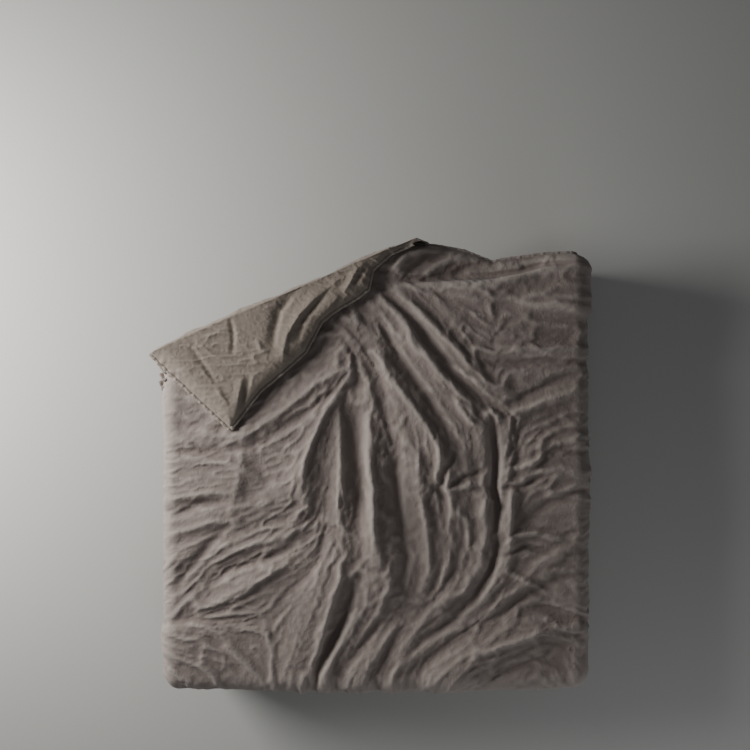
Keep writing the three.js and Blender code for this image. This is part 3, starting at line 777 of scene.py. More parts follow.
# The second colour is painted on ridges: lighter from wear of the dye and as a painted highlight.
def cotton(name, dye, worn_and_lit, sheen=0.10):
    made, tree, shader = principled(name, Sheen_Weight=sheen, Sheen_Roughness=0.45, Specular_IOR_Level=0.25)
    ridge = add(tree, "ShaderNodeAttribute", attribute_name="ridge")
    place = add(tree, "ShaderNodeAttribute", attribute_name="flat")
    cloth = add(tree, "ShaderNodeGroup", node_tree=WASHED)
    given = {"Dye": (*dye, 1), "Worn and lit dye": (*worn_and_lit, 1), "Crinkle": 0.55}
    for key, value in given.items():
        cloth.inputs[key].default_value = value
    tree.links.new(ridge.outputs["Fac"], cloth.inputs["Ridge"])
    tree.links.new(place.outputs["Vector"], cloth.inputs["Cloth place"])
    raised = add(tree, "ShaderNodeBump", {"Strength": 1.0, "Distance": 0.0055, "Height": cloth.outputs["Height"]})
    tree.links.new(cloth.outputs["Color"], shader.inputs["Base Color"])
    tree.links.new(cloth.outputs["Roughness"], shader.inputs["Roughness"])
    tree.links.new(raised.outputs[0], shader.inputs["Normal"])
    return made


# Each second colour is the lighter one painted on ridges, a painted highlight with some wear of the dye.
face_cotton = cotton("face_cotton", (0.235, 0.192, 0.174), (0.335, 0.288, 0.262))
reverse_cotton = cotton("reverse_cotton", (0.226, 0.188, 0.156), (0.322, 0.277, 0.238))
face_panel.data.materials.append(face_cotton)
print("materials", [m.name for m in bpy.data.materials])

# %% [markdown]
# ## The turned corner
#
# The corner is the duvet's own end, turned over along a slanting line, so its reverse shows. It is
# described flat first, then mirrored over the fold line. The part that goes round the fold is a soft
# roll. The roll and the top of the flap are one sheet.

# %% The corner's outline
ALONG_TURNED = np.array([math.cos(2 * FOLD_ANGLE), math.sin(2 * FOLD_ANGLE)])  # along the turned head hem
TURN = np.array([ALONG_TURNED[1], -ALONG_TURNED[0]])  # towards the head hem, once turned
TAIL = 0.04  # the roll's end, run out along the head hem
ROLL_CLOTH = 0.11  # of cloth that goes round the roll
FLAP_LOW = 0.0795  # least height of the flap's top
ROLL = np.array([  # u, and how far the roll stands out past the fold line
    (-0.860, 0.003), (-0.848, 0.008), (-0.715, 0.018), (-0.624, 0.017), (-0.513, 0.022), (-0.342, 0.012),
    (-0.285, 0.015), (-0.190, 0.008), (-0.087, 0.016), (0.030, 0.016), (0.095, 0.006), (0.164, 0.004),
    (0.25, 0.001),
])
FLAP_FOLDS = [  # on the turned corner, in metres of the bed
    (15, 20, [(-0.115, 0.57), (-0.17, 0.523), (-0.226, 0.478), (-0.284, 0.417), (-0.33, 0.348),
              (-0.345, 0.285), (-0.35, 0.231)]),
    (-14, 18, [(-0.277, 0.535), (-0.322, 0.489), (-0.364, 0.429), (-0.383, 0.353), (-0.39, 0.285)]),
    (11, 16, [(-0.136, 0.489), (-0.189, 0.429), (-0.239, 0.349)]),
    (-13, 15, [(-0.159, 0.535), (-0.227, 0.451), (-0.273, 0.391), (-0.299, 0.304)]),
    (-7, 10, [(-0.553, 0.429), (-0.534, 0.342), (-0.538, 0.266)]),
    (9, 16, [(-0.500, 0.180), (-0.511, 0.133), (-0.519, 0.076), (-0.53, 0.02)]),
    (-9, 14, [(-0.470, 0.190), (-0.485, 0.141), (-0.5, 0.088), (-0.515, 0.035)]),
    (7, 12, [(-0.443, 0.323), (-0.428, 0.285), (-0.398, 0.277)]),
    (6, 14, [(-0.663, 0.228), (-0.606, 0.152), (-0.557, 0.076)]),
    (-6, 12, [(-0.700, 0.300), (-0.640, 0.215), (-0.590, 0.130)]),
    (12, 16, [(-0.06, 0.60), (-0.09, 0.545), (-0.12, 0.50)]),
    (-12, 14, [(-0.01, 0.625), (-0.05, 0.575), (-0.08, 0.53)]),
    (8, 12, [(0.03, 0.66), (0.00, 0.62)]),
]


def fold_base(u):
    """Where the fold line passes at u; past its end it runs on along the head hem."""
    inside = np.minimum(u, FOLD_END)
    past = np.maximum(u - FOLD_END, 0)
    return np.stack([u, fold_v(inside) + np.where(past > 0, head_v(u) - HEAD, 0)], -1)


def flap_length(u):
    """From the fold to the turned head hem, along a column of constant u."""
    return np.maximum(HEAD - fold_v(u) - hem_in(u), 0.014)


def roll_top(u):
    left = 0.35 + 0.65 * hem_shoulder(u - FOLD_U, 0.07)
    top = FOLD_Z + 0.054 * left - 0.026 * smooth((u - 0.02) / (FOLD_END - 0.02))
    return top - 0.045 * smooth((u - FOLD_END) / TAIL)


def roll_bottom(u):
    return 0.040 * (1 - hem_shoulder(u - FOLD_U, 0.07))


def hem_height(u, depth):
    """Height of the turned hem. It is ruffled near the fold's end, where it bends hard."""
    ruffle = waves(depth + 0.7 * u, 9, (0.043, 0.027, 0.071), (0.5, 0.35, 0.3))
    near_end = np.exp(-((depth / 0.16) ** 2)) * np.exp(-(u - FOLD_U) / 0.05)
    return 0.0845 + 0.0025 * ruffle + 0.006 * ruffle * near_end


def flap_point(u, share):
    """Points on top of the flap; share is 0 at the fold and 1 at the turned head hem."""
    length = flap_length(u)
    depth = share * length
    place = fold_base(u) + depth[..., None] * TURN
    puffed = np.minimum(hem_shoulder(length - depth, 0.055), hem_shoulder(u - FOLD_U, 0.06))
    low = np.minimum(hem_height(u, depth), roll_top(u))
    z = low + (roll_top(u) - low) * puffed
    flat = np.stack([np.minimum(u, 1.0), np.minimum(fold_v(u) + depth, HEAD)], -1)
    folds = fold_field(place.reshape(-1, 2), FLAP_FOLDS, 0.8).reshape(u.shape)
    folds = folds + 0.40 * sample(CREASING, flat.reshape(-1, 2)).reshape(u.shape)
    start = smooth(depth / 0.05)
    z = z + folds * puffed * (0.35 + 0.65 * start) * smooth((FOLD_END - u) / 0.10)
    ruffle = waves(depth, 17, (0.052, 0.031), (0.5, 0.4)) * np.exp(-(u - FOLD_U) / 0.02) * np.exp(-depth / 0.12)
    place = place + (0.006 * ruffle)[..., None] * ALONG
    z = np.clip(z, FLAP_LOW - 0.05 * smooth((u - FOLD_END) / TAIL), 0.134)
    return np.concatenate([place, z[..., None]], -1), flat


print("the turned corner is", round(FOLD_END - FOLD_U, 3), "by", round(HEAD - FOLD_V, 3), "m when flat")


# %% [markdown]
# ## The turned panel: roll and flap in one sheet
#
# Each column starts on the mattress, goes up round the roll and runs out over the flap to the hem.

# %% Build the turned panel
t_u = np.linspace(FOLD_U, FOLD_END + TAIL, 150)
bulge = np.interp(t_u, ROLL[:, 0], ROLL[:, 1])
base = fold_base(t_u)
columns, flats = [], []
for x in np.linspace(-0.030, -0.004, 4):  # on the mattress, before the roll
    columns.append(np.column_stack([base + x * OUT, roll_bottom(t_u) + 0.0002]))
    flats.append(base + x * OUT)
middle, half = (roll_top(t_u) + roll_bottom(t_u)) / 2, (roll_top(t_u) - roll_bottom(t_u)) / 2
phase = np.random.default_rng(41).uniform(0, 6.28, 3)
for a in np.linspace(-math.pi / 2, math.pi / 2, 15):  # round the roll
    creased = 0.0035 * np.sin(t_u / 0.021 + 1.3 * a + phase[0]) * np.sin(t_u / 0.055 + phase[1]) * math.cos(a)
    out = bulge * math.cos(a) + creased * smooth(bulge / 0.006)
    columns.append(np.column_stack([base + out[:, None] * OUT, middle + half * math.sin(a)]))
    flats.append(base + ROLL_CLOTH * (a / math.pi + 0.5) * OUT)
for share in np.linspace(0, 1, 53)[1:]:  # over the flap
    points, flat = flap_point(t_u, np.full_like(t_u, share))
    columns.append(points)
    flats.append(flat + ROLL_CLOTH * OUT)
grid = np.stack(columns, 1)
turned_panel = grid_object("turned_panel", grid, flip=True)
keep_flat(turned_panel, flat_places(*np.stack(flats, 1).transpose(2, 0, 1), 0.5))
rank = np.arange(grid.shape[1])[None, :] + 0 * t_u[:, None]
hold = np.where((rank < 8) | (rank >= grid.shape[1] - 1), 1.0, 0.20)
hold = np.maximum(hold, 1 - 0.8 * smooth((t_u - FOLD_U) / 0.03)[:, None])
hold = np.maximum(hold, smooth((t_u - FOLD_END + 0.10) / 0.10)[:, None])
settle(turned_panel, hold.ravel(), slack=0.008, cap=0.010)
subdivide(turned_panel)
crease(turned_panel, FINE, 0.9)
sharpen(turned_panel, 0.5)
co = co_of(turned_panel)
flap_side = (co[:, 2] > 0.070) & (co[:, 0] < FOLD_END - 0.02)
co[flap_side, 2] = np.clip(co[flap_side, 2], 0.0785, 0.137)
set_co(turned_panel, co)
mark_ridges(turned_panel)
turned_panel.data.materials.append(reverse_cotton)
print("turned_panel has", len(turned_panel.data.polygons), "quads")

# %% [markdown]
# ## The flap's underside
#
# Under the flap lies the face panel's corner. It is flat while it rests on the spread duvet, and it
# becomes the top when the corner is opened, so its creases go inwards.

# %% Build the turned face panel
def underside(u, share):
    """Points of the flap's underside, and their places on the flat cloth."""
    points, flat = flap_point(u, share)
    edge_gap = np.minimum(flap_length(u) * (1 - share), u - FOLD_U)
    dents = np.abs(sample(CREASING + FINE, flat.reshape(-1, 2)).reshape(u.shape))
    dents = np.minimum(0.9 * dents, np.maximum(points[..., 2] - FLAP_LOW, 0) * 0.6)
    points[..., 2] = 0.0606 + 0.0185 * np.exp(-edge_gap / 0.022) + dents * smooth(edge_gap / 0.04)
    return points, flat


def corner_grid(columns, rows, last=FOLD_END - 0.02):
    """Grids of u and share over the turned corner, just inside its edges."""
    u = np.repeat(np.linspace(FOLD_U + 0.002, last, columns)[:, None], rows, 1)
    share = np.repeat(np.linspace(0.004, 0.997, rows)[None, :], columns, 0)
    return u, share


points, flat = underside(*corner_grid(116, 52))
turned_face = grid_object("turned_face_panel", points)
dress(turned_face, flat_places(*flat.transpose(2, 0, 1)), face_cotton, fine=True)
print("turned_face_panel has", len(turned_face.data.polygons), "quads")

# %% [markdown]
# ## The reverse panel
#
# The reverse lies on the mattress and hangs inside the face panel. Past the side of the bed, the two
# layers turn into each other where the fold begins, and a short rounded strip closes that end.

# %% Build the reverse panel
reverse_u = np.linspace(LEFT + SEAM, RIGHT - SEAM, 120)
top = np.where(reverse_u < FOLD_END, cloth_top(reverse_u) - 0.006, head_v(reverse_u) - SEAM)
U, V = spread(reverse_u, FOOT + PLACKET, top, 110)
reverse_panel = grid_object("reverse_panel", lay(U, V, 0.0008), flip=True)
dress(reverse_panel, flat_places(U, V), reverse_cotton, fine=True)

end_u = np.linspace(LEFT + SEAM, -0.775, 26)
arc = np.linspace(0, math.pi, 11)
face_h = face_height(end_u[:, None], cloth_top(end_u)[:, None])
U = np.repeat(end_u[:, None], len(arc), 1)
V = cloth_top(end_u)[:, None] - 0.004 + 0.020 * np.sin(arc) * smooth(face_h / 0.03)
H = face_h * (0.5 + 0.5 * np.cos(arc)) + 0.0008
end_roll = grid_object("fold_end", lay(U, V, H))
dress(end_roll, flat_places(U, V, H), face_cotton, fine=True)
print("reverse_panel has", len(reverse_panel.data.polygons), "quads")

# %% [markdown]
# ## Hems
#
# A hem is two layers sewn flat. Washing shrinks the thread more than the cloth, so the hem puckers.
# Each hem is a flattened tube along the edge, whose height and width wander.

# %% Build the hems
PHI = np.linspace(0, 2 * math.pi, 11)[:-1]
FLAT_SIDE = np.sign(np.cos(PHI)) * np.abs(np.cos(PHI)) ** 0.7  # a flattened ellipse
ROUND_SIDE = np.sin(PHI)


def tube(name, rings, material, run):
    """A closed tube through rings (n, k, 3), with its ends drawn together."""
    k = rings.shape[1]
    caps = [rings[end].mean(0, keepdims=True).repeat(k, 0)[None] for end in (0, -1)]
    rings = np.concatenate([caps[0], rings, caps[1]])
    rings[0] = rings[0] + 0.15 * (rings[1] - rings[0])
    rings[-1] = rings[-1] + 0.15 * (rings[-2] - rings[-1])
    n = len(rings)
    i, j = np.meshgrid(np.arange(n - 1), np.arange(k), indexing="ij")
    a, b = i * k + j, i * k + (j + 1) % k
    quads = np.stack([a, b, b + k, a + k], -1).reshape(-1, 4)
    faces = [*quads, tuple(range(k))[::-1], tuple(range((n - 1) * k, n * k))]
    made = make_object(name, rings.reshape(-1, 3), faces)
    face_outwards(made)
    run = np.concatenate([run[:1], run, run[-1:]])
    dress(made, flat_places(run[:, None], PHI * 0.004, 0.3), material, reach=3, strength=500)
    return made


def puckers(run, seed, size):
    return size * waves(run, seed, (0.031, 0.019, 0.047, 0.013), (0.4, 0.3, 0.3, 0.2))


def root_hem(name, edge_line, inward, seed):
    """A hem along the laid cloth's edge, which is a line of flat points."""
    edge_line = np.asarray(edge_line, float)
    length = np.concatenate([[0], np.cumsum(np.linalg.norm(np.diff(edge_line, axis=0), axis=1))])
    run = np.linspace(0, length[-1], int(length[-1] / 0.0055))
    line = np.stack([np.interp(run, length, edge_line[:, k]) for k in (0, 1)], 1) + np.array(inward) * 0.0062
    wide = 0.0078 + puckers(run, seed, 0.0009)
    tall = 0.0034 + puckers(run, seed + 1, 0.0007)
    lift = 0.0044 + puckers(run, seed + 2, 0.0010)
    place = line[:, None, :] + (FLAT_SIDE[None, :] * wide[:, None])[..., None] * np.array(inward)
    rings = lay(place[..., 0], place[..., 1], lift[:, None] + ROUND_SIDE[None, :] * tall[:, None])
    made = tube(name, rings, face_cotton, run)
    return made, lay(line[:, 0], line[:, 1], lift + tall + 0.0002)


left_line = [(LEFT, FOOT + PLACKET), (LEFT, 0.262)]
right_line = [(RIGHT, FOOT + PLACKET), (RIGHT, head_v(RIGHT) - 0.002)]
head_line = [(FOLD_END - 0.01, head_v(FOLD_END)), *HEAD_LINE[1:-1], (RIGHT - 0.004, HEAD_LINE[-1, 1])]
left_hem, left_row = root_hem("side_hem_left", left_line, (1, 0), 51)
right_hem, right_row = root_hem("side_hem_right", right_line, (-1, 0), 54)
head_hem, head_row = root_hem("head_hem", head_line, (0, -1), 57)


def flap_hem(name, u, share, outward, seed):
    """A hem along the turned corner's edge."""
    points, _ = flap_point(u, share)
    run = np.concatenate([[0], np.cumsum(np.linalg.norm(np.diff(points, axis=0), axis=1))])
    outward = np.array([*outward, 0.0])
    centre = points + outward * 0.0045
    centre[:, 2] = points[:, 2] - 0.0015
    wide = 0.0075 + puckers(run, seed, 0.0012)
    tall = 0.0038 + puckers(run, seed + 1, 0.0010)
    centre[:, 2] += puckers(run, seed + 2, 0.0016)
    rings = centre[:, None, :] + (FLAT_SIDE[None, :] * wide[:, None])[..., None] * outward
    rings[..., 2] += ROUND_SIDE[None, :] * tall[:, None]
    made = tube(name, rings, reverse_cotton, run)
    row = centre - outward * 0.002
    row[:, 2] += tall + 0.0001
    return made, row


shares = np.linspace(0, 1, 110)
side_u = np.full_like(shares, FOLD_U)
turned_side_hem, turned_side_row = flap_hem("turned_side_hem", side_u, shares, -ALONG_TURNED, 61)
hem_u = np.linspace(FOLD_U, FOLD_END - 0.03, 230)
turned_head_hem, turned_head_row = flap_hem("turned_head_hem", hem_u, np.ones_like(hem_u), TURN, 64)
hems = [left_hem, right_hem, head_hem, turned_side_hem, turned_head_hem]
print("hems:", [len(hem.data.polygons) for hem in hems], "faces")

# %% [markdown]
# ## The ruffle where the fold ends
#
# Where the side hem turns back on itself there is more cloth than room. It stands up in a short row
# of ruffles beside the flap.

# %% Build the ruffle
V, across = np.meshgrid(np.linspace(0.095, 0.268, 90), np.linspace(0, 1, 22), indexing="ij")
fade = smooth((V - 0.095) / 0.07)  # towards the foot
wobble = 0.5 + 0.5 * np.sin(2 * math.pi * (V + 0.010 * np.sin(9 * across)) / 0.031 + 2.0 * across + 6 * V)
U = -0.872 + (0.010 + 0.062 * fade) * across + 0.006 * (wobble - 0.5) * fade
arch = np.sin(math.pi * np.clip(across, 0, 1)) ** 0.6
stand = -0.0025 + 0.0235 * fade * wobble**1.3 * arch
ruffle = grid_object("hem_ruffle", lay(U, V, face_height(U, V) + stand).transpose(1, 0, 2))
dress(ruffle, flat_places(U.T, V.T, stand.T), face_cotton, fine=True, reach=3)
print("hem_ruffle has", len(ruffle.data.polygons), "quads")

# %% [markdown]
# ## The gathers that close the fold's end
#
# Beside the mattress the fold would stay open like a sleeve. The slack cloth fills it: a ridge that
# starts under the side hem, rises in pleats to the turned hem's edge and goes down again behind it.

# %% Build the gathered end of the fold
run = np.linspace(0, 1, 64)  # from the fold's end to where the ridge runs out
crest, _ = flap_point(np.full_like(run, FOLD_U + 0.001), 0.50 * run)
crest[:, :2] -= (0.001 + 0.006 * run)[:, None] * ALONG
crest[:, 2] = np.minimum(crest[:, 2], 0.0835) - 0.0035
back = crest[:, :2] + 0.030 * ALONG
side_u, side_v = -0.868, 0.290 - 0.13 * run
low_u = side_u + (crest[:, 0] - 0.012 - side_u) * smooth(run)
low_v = side_v + (crest[:, 1] - 0.006 - side_v) * smooth(run)
low_edge = lay(low_u, low_v, face_height(low_u, low_v) - 0.006)
back_edge = lay(*back.T, face_height(*back.T) - 0.010)
crest[:, 2] += (low_edge[:, 2] + 0.006 - crest[:, 2]) * smooth((run - 0.55) / 0.45)
rise, fall = np.linspace(0, 1, 15), np.linspace(0, 1, 8)[1:]
pleats = 1 + np.sin(run[:, None] * 34 + 3.0 * rise + 1.2 * np.sin(9 * run[:, None]))
pleats = pleats * np.sin(math.pi * rise) * 0.0065 * (1 - 0.6 * run)[:, None]
outwards = np.array([-0.80, -0.60, 0.0])
front = low_edge[:, None] + (crest - low_edge)[:, None] * rise[:, None] + pleats[..., None] * outwards
behind = crest[:, None] + (back_edge - crest)[:, None] * fall[:, None]
gathers = np.concatenate([front, behind], 1).transpose(1, 0, 2)
gathered_end = grid_object("fold_gathers", gathers, flip=True)
dress(gathered_end, flat_places(gathers[..., 0], gathers[..., 1], 0.3), face_cotton, fine=True, reach=3)
print("fold_gathers cover", round(sum(f.area for f in gathered_end.data.polygons), 4), "square metres")

# %% [markdown]
# ## Inserts, hem strips, buttons and tapes
#
# Inside the cover is a quilted insert. It is pinched along its quilting lines and thin at its edges.
# The foot hem is open and closes with eight buttons between two strips. Tapes in the corners are
# knotted to tabs on the insert.

# %% Build the inserts
POCKET_U = np.linspace(LEFT + 0.03, RIGHT - 0.03, 6)
POCKET_V = np.linspace(FOOT + PLACKET + 0.025, HEAD - 0.03, 6)


def quilting(u, v):
    """0.3 on a quilting line, 1 in the middle of a pocket."""
    a = np.abs(np.sin(math.pi * (u - POCKET_U[0]) / (POCKET_U[1] - POCKET_U[0])))
    b = np.abs(np.sin(math.pi * (v - POCKET_V[0]) / (POCKET_V[1] - POCKET_V[0])))
    return 0.3 + 0.7 * (np.minimum(a, b)) ** 0.45


def closed_pad(name, low, high, flat, material):
    """A pad between two grids of points that meet at their edges."""
    columns, rows = low.shape[:2]
    rim = np.zeros((columns, rows), bool)
    rim[0] = rim[-1] = rim[:, 0] = rim[:, -1] = True
    high = np.where(rim[..., None], low, high)
    index = np.arange(columns * rows).reshape(columns, rows)
    upper = index.copy()
    upper[~rim] = columns * rows + np.arange((~rim).sum())
    faces = [tuple(f) for f in grid_faces(columns, rows, flip=True)]
    top = upper.ravel()[grid_faces(columns, rows)]
    points = np.concatenate([low.reshape(-1, 3), high[~rim]])
    made = make_object(name, points, faces + [tuple(f) for f in top])
    flat = flat.reshape(columns, rows, 3)
    dress(made, np.concatenate([flat.reshape(-1, 3), flat[~rim]]), material)
    return made


insert_shell = cotton("insert_shell", (0.74, 0.70, 0.62), (0.84, 0.81, 0.74), sheen=0.15)
tie_tape = cotton("tie_tape", (0.190, 0.152, 0.138), (0.26, 0.22, 0.20), sheen=0.15)

pad_u = np.linspace(LEFT + SEAM + 0.012, RIGHT - SEAM - 0.012, 121)
pad_top = np.where(pad_u < 0.02, cloth_top(pad_u) - 0.02, np.interp(pad_u, TUCK[:, 0], TUCK[:, 1]) - 0.02)
pad_top = np.minimum(pad_top, np.interp(pad_u, [-0.2, 0.1, 2], [9, 0.53, 9]))
U, V = spread(pad_u, FOOT + PLACKET + 0.02, pad_top, 111)
room = np.maximum(np.minimum(face_height(U, V), 0.07) - 0.008, 0.004)
top = lay(U, V, 0.006 + 0.5 * room * quilting(U, V))
insert_pad = closed_pad("insert_pad", lay(U, V, 0.004), top, flat_places(U, V), insert_shell)

u, share = corner_grid(80, 40, FOLD_END - 0.14)
u, share = u + 0.02, 0.05 + 0.88 * share
low, flat = underside(u, share)
low[..., 2] += 0.004
gap = np.maximum(flap_point(u, share)[0][..., 2] - low[..., 2] - 0.014, 0.002)
u, v = flat.transpose(2, 0, 1)
high = low.copy()
high[..., 2] += 0.75 * gap * quilting(u, v)
turned_insert = closed_pad("turned_insert_pad", low, high, flat_places(u, v), insert_shell)
print("inserts:", len(insert_pad.data.polygons), "and", len(turned_insert.data.polygons), "faces")

# %% Build the strips of the foot hem
STRIP_WIDTH = PLACKET + 0.004
strip_u = np.linspace(LEFT + 0.002, RIGHT - 0.002, 260)


def closed_strip(name, inner, outer):
    """A thin closed sheet between two grids of points of one size."""
    columns, rows = inner.shape[:2]
    n = columns * rows
    index = np.arange(n).reshape(columns, rows)
    loop = [*index[:, 0], *index[-1, 1:], *index[-2::-1, -1], *index[0, -2:0:-1]]
    sides = [(a, b, b + n, a + n) for a, b in zip(loop, loop[1:] + loop[:1])]
    faces = [*grid_faces(columns, rows, flip=True), *grid_faces(columns, rows, start=n), *sides]
    made = make_object(name, np.concatenate([inner, outer]).reshape(-1, 3), faces)
    face_outwards(made)
    return made


def hem_strip(name, height, thickness, material, seed):
    """A long strip across the foot hem, as a closed sheet with a puckered free edge."""
    across = np.linspace(0, 1, 9)
    wander = waves(strip_u, seed, (0.37, 0.11, 0.052), (0.0016, 0.0011, 0.0008))
    v = FOOT + wander[:, None] * (1 - across) + STRIP_WIDTH * across
    bow = waves(strip_u, seed + 1, (0.19, 0.083, 0.041), (0.0005, 0.0004, 0.0003))[:, None]
    h = height + bow * np.sin(math.pi * across)
    u = np.repeat(strip_u[:, None], len(across), 1)
    made = closed_strip(name, lay(u, v, h), lay(u, v, h + thickness))
    dress(made, np.tile(flat_places(u, v), (2, 1)), material)
    return made, lay(strip_u, v[:, 1] + 0.0015, h[:, 1] + thickness + 0.0003)


strip_back, _ = hem_strip("hem_strip_back", 0.0, 0.0016, reverse_cotton, 71)
strip_front, strip_row = hem_strip("hem_strip_front", 0.0066, 0.0018, face_cotton, 74)
strip_top_row = lay(strip_u, FOOT + PLACKET - 0.004, 0.0088)
print("strips of", len(strip_back.data.polygons), "faces each")

# %% Build the buttons
moulded, tree, shader = principled("button", Coat_Weight=0.15)
place = add(tree, "ShaderNodeTexCoord").outputs["Object"]
swirl = noise(tree, place, 140.0, Detail=4.0, Distortion=2.2)
tint = add(tree, "ShaderNodeValToRGB", {"Fac": swirl})
tint.color_ramp.elements[0].color = (0.11, 0.088, 0.075, 1)
tint.color_ramp.elements[1].color = (0.24, 0.20, 0.17, 1)
tree.links.new(tint.outputs["Color"], shader.inputs["Base Color"])
tree.links.new(remap(tree, swirl, to=(0.28, 0.45)), shader.inputs["Roughness"])


def sewn_button(number):
    """The CAD button, moved with the rippled hem it is sewn to, with its edges rounded."""
    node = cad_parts[f"button_{number}"]
    there = np.array([node.matrix_world @ v.co for v in node.data.vertices])
    middle = (there.min(0) + there.max(0)) / 2
    v = FOOT + PLACKET / 2 + there[:, 2] - middle[2]
    moved = lay(there[:, 0], v, 0.0026 + there[:, 1].max() - there[:, 1])
    made = make_object(f"sewn_button_{number}", moved, [tuple(p.vertices) for p in node.data.polygons])
    for polygon in made.data.polygons:
        polygon.use_smooth = False
    rounding = made.modifiers.new("rounding", "BEVEL")
    rounding.width, rounding.segments, rounding.limit_method = 0.0003, 2, "ANGLE"
    bake(made)
    made.data.materials.append(moulded)
    return made


buttons = [sewn_button(k) for k in range(1, 9)]
print(len(buttons), "buttons of", len(buttons[0].data.polygons), "faces")


# %% Build the tapes
def stiff(placed, u, v, h):
    """The same place on the cloth, but straight: a short tape doesn't bend with the corner it lies in."""
    u0, v0, step = u.mean(), v.mean(), 1e-4
    near = np.array([(u0, v0), (u0 + step, v0), (u0, v0 + step)])
    start, along, across = placed(near[:, 0], near[:, 1], np.zeros(3))
    along = (along - start) / np.linalg.norm(along - start)
    across = across - start - ((across - start) @ along) * along
    across = across / np.linalg.norm(across)
    up = np.cross(along, across)
    return start + (u - u0)[..., None] * along + (v - v0)[..., None] * across + h[..., None] * up


def tape(name, u_range, v_range, height, placed, seed, knot):
    """A short woven tape as a closed sheet, thicker at the knot end."""
    u, v = np.meshgrid(np.linspace(*u_range, 15), np.linspace(*v_range, 5), indexing="ij")
    low = height + waves(u, seed, (0.021, 0.013), (0.00025, 0.0002))
    high = low + 0.0009 + 0.0005 * np.exp(-(((u - u[knot]) / 0.002) ** 2))
    made = closed_strip(name, stiff(placed, u, v, low), stiff(placed, u, v, high))
    dress(made, np.tile(flat_places(u, v), (2, 1)), tie_tape)
    return made


def turned_lay(u, v, h):
    """Points of the turned corner, from the flat cloth and a height above its reverse."""
    place = fold_base(u) + (v - fold_v(u))[..., None] * TURN
    return np.concatenate([place, (0.0920 - h)[..., None]], -1)


ROOT, CORNER = "spread_duvet", "turned_corner"  # the two bodies
BY_RIGHT = (RIGHT - SEAM - 0.002, RIGHT - SEAM - 0.022)
BY_LEFT = (LEFT + SEAM + 0.002, LEFT + SEAM + 0.022)
BY_FOOT = (FOOT + 0.1315, FOOT + 0.1416)
TAPES = {  # across, along, how it is laid, and its body
    "head_right": (BY_RIGHT, (HEAD - 0.0905, HEAD - 0.0804), lay, ROOT),
    "foot_right": (BY_RIGHT, BY_FOOT, lay, ROOT),
    "foot_left": (BY_LEFT, BY_FOOT, lay, ROOT),
    "turned": ((FOLD_U + 0.008, FOLD_U + 0.030), (HEAD - 0.1105, HEAD - 0.1004), turned_lay, CORNER),
}
tapes = {}
for number, (place_name, (u_range, v_range, placed, _)) in enumerate(TAPES.items()):
    for kind, height, seed, knot in [("tie", 0.0016, 80, -3), ("tab", 0.0031, 90, 3)]:
        name = f"{kind}_{place_name}"
        tapes[name] = tape(name, u_range, v_range, height, placed, seed + number, knot)
print(len(tapes), "tapes")

# %% [markdown]
# ## Stitches
#
# Every hem is held by a row of short stitches. One small shape is repeated along a line, which is
# what Geometry Nodes is good at: the line is cut into equal steps and a stitch is set at each.


# %% Stitch rows with Geometry Nodes
def stitch_group():
    group = bpy.data.node_groups.new("stitch_row", "GeometryNodeTree")
    socket(group, "Row", "Geometry")
    socket(group, "Pitch", "Float", 0.0045)
    socket(group, "Stitch length", "Float", 0.0031)
    socket(group, "Thread thickness", "Float", 0.0008)
    socket(group, "Thread", "Material")
    socket(group, "Stitches", "Geometry", direction="OUTPUT")
    given = group.nodes.new("NodeGroupInput").outputs
    line = add(group, "GeometryNodeMeshToCurve", {"Mesh": given["Row"]}).outputs["Curve"]
    steps = add(group, "GeometryNodeResampleCurve", {"Curve": line, "Length": given["Pitch"]}, mode="LENGTH")
    bead = add(group, "GeometryNodeMeshUVSphere", {"Segments": 6, "Rings": 4, "Radius": 0.5}).outputs["Mesh"]
    thick = given["Thread thickness"]
    size = add(group, "ShaderNodeCombineXYZ", {"X": thick, "Y": thick, "Z": given["Stitch length"]}).outputs[0]
    stitch = add(group, "GeometryNodeTransform", {"Geometry": bead, "Scale": size}).outputs[0]
    tangent = add(group, "GeometryNodeInputTangent").outputs[0]
    turned = add(group, "FunctionNodeAlignRotationToVector", {"Vector": tangent}, axis="Z").outputs[0]
    copies = {"Points": steps.outputs["Curve"], "Instance": stitch, "Rotation": turned}
    copies = add(group, "GeometryNodeInstanceOnPoints", copies).outputs["Instances"]
    real = add(group, "GeometryNodeRealizeInstances", {"Geometry": copies}).outputs["Geometry"]
    shade = add(group, "GeometryNodeSetShadeSmooth", {"Geometry": real}).outputs["Geometry"]
    paint = add(group, "GeometryNodeSetMaterial", {"Geometry": shade, "Material": given["Thread"]})
    add(group, "NodeGroupOutput", {"Stitches": paint.outputs["Geometry"]})
    return group


STITCHES = stitch_group()
thread_cotton = cotton("thread_cotton", (0.200, 0.164, 0.146), (0.30, 0.26, 0.235), sheen=0.2)


def stitch_row(name, rows):
    """Stitches along one or more lines of points, as one object."""
    points = np.concatenate(rows)
    made = bpy.data.objects.new(name, bpy.data.meshes.new(name))
    edges, start = [], 0
    for row in rows:
        edges += [(start + i, start + i + 1) for i in range(len(row) - 1)]
        start += len(row)
    made.data.from_pydata([tuple(p) for p in points], edges, [])
    bpy.context.scene.collection.objects.link(made)
    rows_of = made.modifiers.new("stitches", "NODES")
    rows_of.node_group = STITCHES
    for item in STITCHES.interface.items_tree:
        if item.name == "Thread":
            rows_of[item.identifier] = thread_cotton
    bake(made)
    keep_flat(made, co_of(made))
    keep_ridge(made, np.full(len(made.data.vertices), 0.7))
    return made


